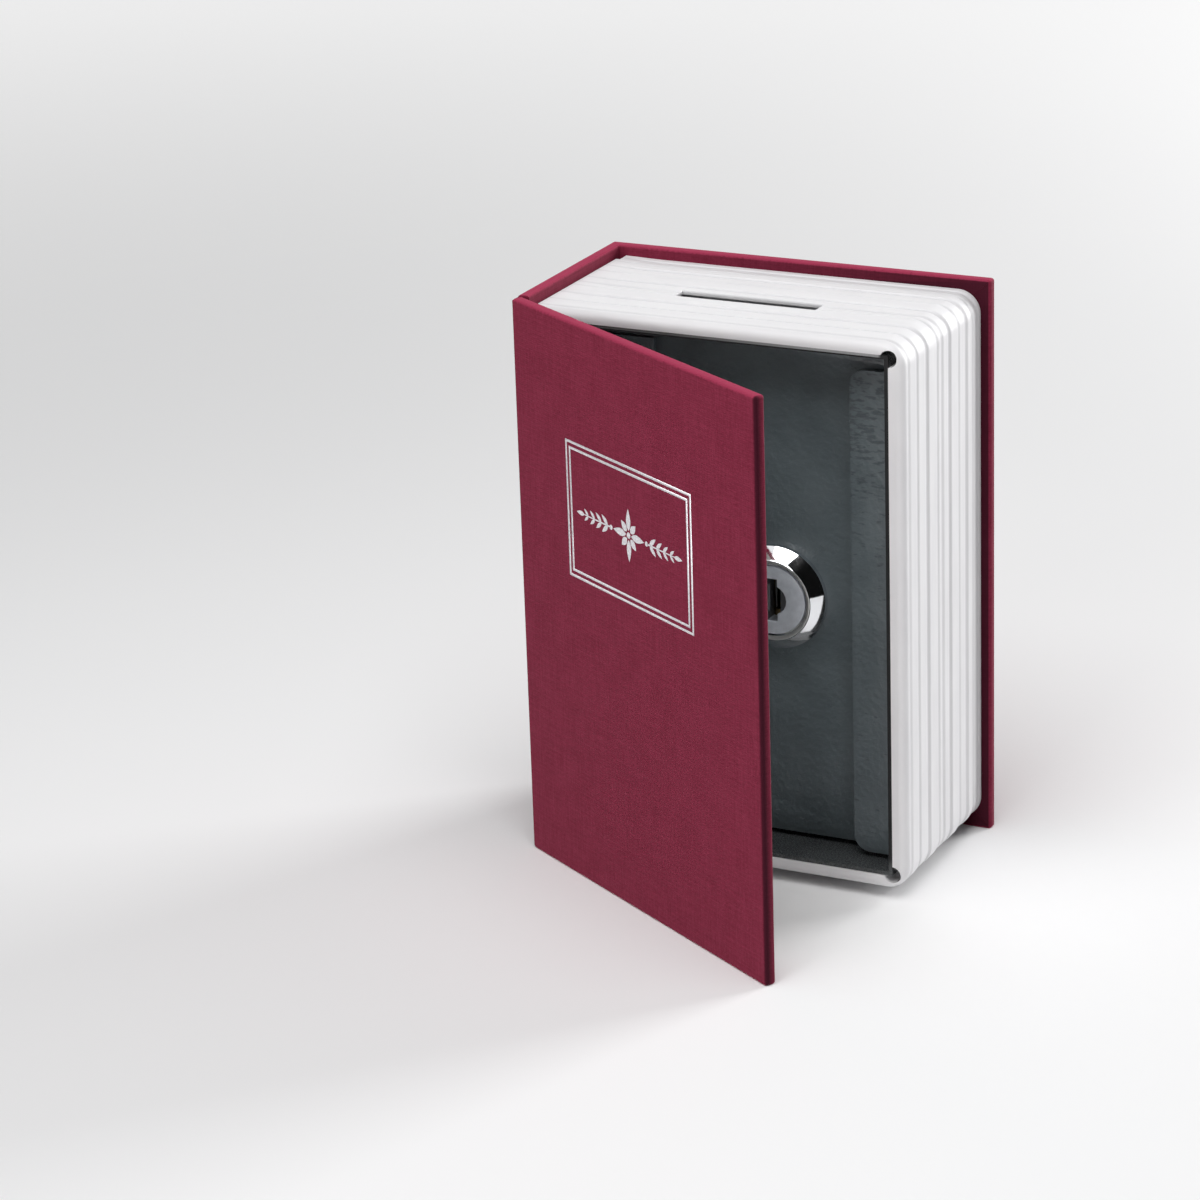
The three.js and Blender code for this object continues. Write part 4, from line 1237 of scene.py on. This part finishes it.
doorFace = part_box("hinge_leaf_door")[1].y
lock = {
    "bezelRadius": (lockHigh.x - lockLow.x) / 2,
    "faceRadius": 8.2 * mm,
    "front": lockLow.y,
    "rim": 1.1 * mm,
    "lipDrop": 0.15 * mm,
    "crown": 0.03 * mm,
    "crownSteps": 14,
    # points of the rounded lip, from its radius and the front, in millimetres
    "lipPoints": ((-0.06, 0.04), (-0.2, 0)),
    "ringInner": 7.3 * mm,
    "ringPoints": ((0.5, 0), (0.4, 0.03), (0.16, 0.12), (0, 0.26)),
    "headRoom": 1.6 * mm,
    "barrel": 8 * mm,
    "barrelCore": 7.55 * mm,
    "chamfer": 0.3 * mm,
    "shoulder": 0.4 * mm,
    "threadStart": 17.3 * mm,
    "threadGap": 0.3 * mm,
    "threadEnd": 0.5 * mm,
    "threadPitch": 1 * mm,
    "ridge": 0.36 * mm,
    "ridgeLift": 0.08 * mm,
    "bore": 5.5 * mm,
    "waferRoom": 6.2 * mm,
    "waferGap": 0.4 * mm,
    "end": lockHigh.y,
    "sides": 128,
}


# The lock's body is turned: radius and y, from the bezel's foot over its face, down the bore and back outside
def bezelProfile():
    front, end, face, inner = lock["front"], lock["end"], lock["faceRadius"], lock["ringInner"]
    bore, room, core, barrel = lock["bore"], lock["waferRoom"], lock["barrelCore"], lock["barrel"]
    base = Vector((lock["bezelRadius"], doorFace - lock["rim"]))
    slope = Vector((face, front + lock["lipDrop"])) - base
    out = Vector((-slope.y, slope.x)).normalized()
    if out.x < 0:
        out = -out
    shares = [step / lock["crownSteps"] for step in range(lock["crownSteps"] + 1)]
    crowned = [base + slope * t + out * lock["crown"] * 4 * t * (1 - t) for t in shares]
    threadStart = cover["front"] + lock["threadStart"]
    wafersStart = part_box("wafer_1")[0].y - lock["waferGap"]
    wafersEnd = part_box("wafer_4")[1].y + lock["waferGap"]
    return [
        (lock["bezelRadius"], doorFace),
        *crowned,
        *[(face + a * mm, front + b * mm) for a, b in lock["lipPoints"]],
        *[(inner + a * mm, front + b * mm) for a, b in lock["ringPoints"]],
        (inner, front + lock["headRoom"]),
        (bore, front + lock["headRoom"]),
        (bore, wafersStart),
        (room, wafersStart),
        (room, wafersEnd),
        (bore, wafersEnd),
        (bore, end),
        (core - lock["chamfer"], end),
        (core, end - lock["chamfer"]),
        (core, threadStart),
        (barrel, threadStart - lock["shoulder"]),
        (barrel, doorFace),
    ]


def lockBody():
    profile = bezelProfile()
    spokes = [(math.cos(a), math.sin(a)) for a in turnsOf(lock["sides"])]
    rings = [[(lockX + r * c, y, lockZ + r * s) for r, y in profile] for c, s in spokes]
    body = lofted("lockBody", rings, look=looks["bezel"], goesRound=True)
    return belong(softShade(body, 30), "safe_door", "bezel", "lock_body")


# The thread on the barrel: one ridge wound along it
def ridge(g, given):
    spiral = g.node("GeometryNodeCurveSpiral", {
        "Resolution": 40, "Rotations": given["Turns"], "Start Radius": given["Radius"],
        "End Radius": given["Radius"], "Height": given["Height"],
    })
    sizes = {"Resolution": 4, "Radius": given["Ridge"]}
    section = g.node("GeometryNodeCurvePrimitiveCircle", sizes, mode="RADIUS")
    made = g.node("GeometryNodeCurveToMesh", {"Curve": spiral, "Profile Curve": section, "Fill Caps": True})
    return g.moved(made, Rotation=(-math.pi / 2, 0, 0), Translation=given["Start"])


def barrelThread():
    tree = growTree("barrelThread", ridge, ["Turns", "Radius", "Height", "Ridge"], Start="Vector")
    start = cover["front"] + lock["threadStart"] + lock["threadGap"]
    run = lock["end"] - lock["threadEnd"] - start
    thread = runTree(addPiece("barrelThread"), tree, {
        "Turns": run / lock["threadPitch"],
        "Radius": lock["barrelCore"] + lock["ridgeLift"],
        "Height": run,
        "Ridge": lock["ridge"],
        "Start": Vector((lockX, start, lockZ)),
        "Material": looks["bezel"],
    })
    return belong(softShade(thread, 20), "safe_door", "bezel")


lockBody()
barrelThread()
refined("lockPlug", "lock_plug", "plug", "turning_plug", "plug", 0.22, steps=3)
refined("lockCam", "lock_cam", "steel", "turning_plug", "steel", 0.2)
refined("camWasher", "cam_washer", "steel", "turning_plug", "steel", 0.1)
refined("lockWasher", "lock_washer", "steel", "safe_door", "steel", 0.1)
refined("lockNut", "lock_nut", "steel", "safe_door", "steel", 0.25)
print("lock made")


# The nodes that stay as they are

finishOf = {part["node"]: part["material_slot"] for part in frame["record"]["subparts"]}
for node, thing in frame["nodes"].items():
    thing.data.materials.clear()
    thing.data.materials.append(looks[finishOf[node]])


# Stage, lights and camera

stage = {
    "floorHalf": 6.0,
    "floorTones": ((0.86, 0.86, 0.865), (0.88, 0.88, 0.885)),
    "farGlow": (0.6, 0.6, 0.6),
    "farStart": (250, 1100),
    "skyForSurfaces": 0.03,
    "lens": 124.6,
    "sensor": 36.0,
    "cameraAt": (0.321065, -0.683738, 0.332671),
    "azimuth": 26.838,
    "elevation": 19.933,
    "roll": 1.965,
}
# each lamp's place, the point that it shines at, its size and its power
lamps = {
    "topLight": ((0.05, -0.27, 0.88), (0, 0, 0.05), (0.8, 0.7), 7.3),
    "frontLight": ((-0.12, -1.0, 0.22), (0, 0, 0.06), (0.4, 0.3), 3.4),
    "sideLight": ((0.55, 0.8, 0.35), (0, 0, 0.06), (0.4, 0.6), 8.0),
}
shadeCard = {"azimuth": 45.0, "away": 0.42, "width": 0.66, "heights": (0.002, 0.76), "tones": (0.005, 0.007)}


# 1 where the camera, or metal or glass, looks; 0 for the light that falls on surfaces
def looking(g):
    path = g.node("ShaderNodeLightPath").socket.node
    seen = [Value(g, path.outputs[f"Is {kind} Ray"]) for kind in ("Camera", "Glossy", "Transmission")]
    return g.math("MAXIMUM", g.math("MAXIMUM", seen[0], seen[1]), seen[2])


# The floor stays as pale far off, where the lamps no longer reach, as it is round the object
def floorPaper(g):
    at = g.place()
    cloud = g.noise(at, 0.004, 2)
    far = g.ease(g.length(at), *stage["farStart"])
    return {
        "Base Color": g.tint(cloud, *stage["floorTones"]),
        "Roughness": 0.7 + cloud * 0.1,
        "Emission Color": g.tint(far * looking(g), (0, 0, 0), stage["farGlow"]),
    }


def darkFelt(g):
    deep, pale = ((tone, tone, tone) for tone in shadeCard["tones"])
    return {"Base Color": g.tint(g.noise(g.place(), 0.5), deep, pale)}


def addSheet(name, corners, look):
    work = bmesh.new()
    work.faces.new([work.verts.new(corner) for corner in corners])
    sheet = fromWork(name, work, look)
    return sheet


def makeFloor():
    half = stage["floorHalf"]
    look = newLook(floorPaper, {"Specular IOR Level": 0.2, "Emission Strength": 1.0})
    addSheet("floor", [(-half, -half, 0), (half, -half, 0), (half, half, 0), (-half, half, 0)], look)


# A dark card at the front right, as beside a camera: it gives the chrome and the glossy paint an edge
def makeCard():
    aim = math.radians(shadeCard["azimuth"])
    middle = Vector((math.sin(aim), -math.cos(aim), 0)) * shadeCard["away"]
    side = Vector((math.cos(aim), math.sin(aim), 0)) * shadeCard["width"] / 2
    low, high = (Vector((0, 0, z)) for z in shadeCard["heights"])
    corners = [middle - side + low, middle + side + low, middle + side + high, middle - side + high]
    card = addSheet("shadeCard", corners, newLook(darkFelt, {"Roughness": 0.95, "Specular IOR Level": 0.0}))
    card.visible_camera = card.visible_diffuse = card.visible_shadow = False


def makeWorld():
    world = bpy.data.worlds.new("studio")
    bpy.context.scene.world = world
    world.use_nodes = True
    g = Graph(world.node_tree)
    background = world.node_tree.nodes["Background"]
    g.put(background.inputs["Color"], (1, 1, 1))
    g.put(background.inputs["Strength"], looking(g) * (1 - stage["skyForSurfaces"]) + stage["skyForSurfaces"])


def makeLamp(name, at, target, size, power):
    lamp = bpy.data.lights.new(name, "AREA")
    lamp.shape = "RECTANGLE"
    lamp.size, lamp.size_y = size
    lamp.energy = power
    holder = bpy.data.objects.new(name, lamp)
    bpy.context.scene.collection.objects.link(holder)
    holder.location = at
    holder.rotation_euler = (Vector(target) - Vector(at)).to_track_quat("-Z", "Y").to_euler()


def makeCamera():
    data = bpy.data.cameras.new("photoView")
    data.lens = stage["lens"]
    data.sensor_width = stage["sensor"]
    camera = bpy.data.objects.new("photoView", data)
    bpy.context.scene.collection.objects.link(camera)
    turn = Matrix.Rotation(math.radians(stage["azimuth"]), 4, "Z")
    tilt = Matrix.Rotation(math.radians(90 - stage["elevation"]), 4, "X")
    roll = Matrix.Rotation(math.radians(-stage["roll"]), 4, "Z")
    camera.matrix_world = Matrix.Translation(stage["cameraAt"]) @ turn @ tilt @ roll
    bpy.context.scene.camera = camera


makeFloor()
makeCard()
makeWorld()
for name, values in lamps.items():
    makeLamp(name, *values)
makeCamera()
bpy.context.scene.view_settings.view_transform = "Standard"
print("stage ready")
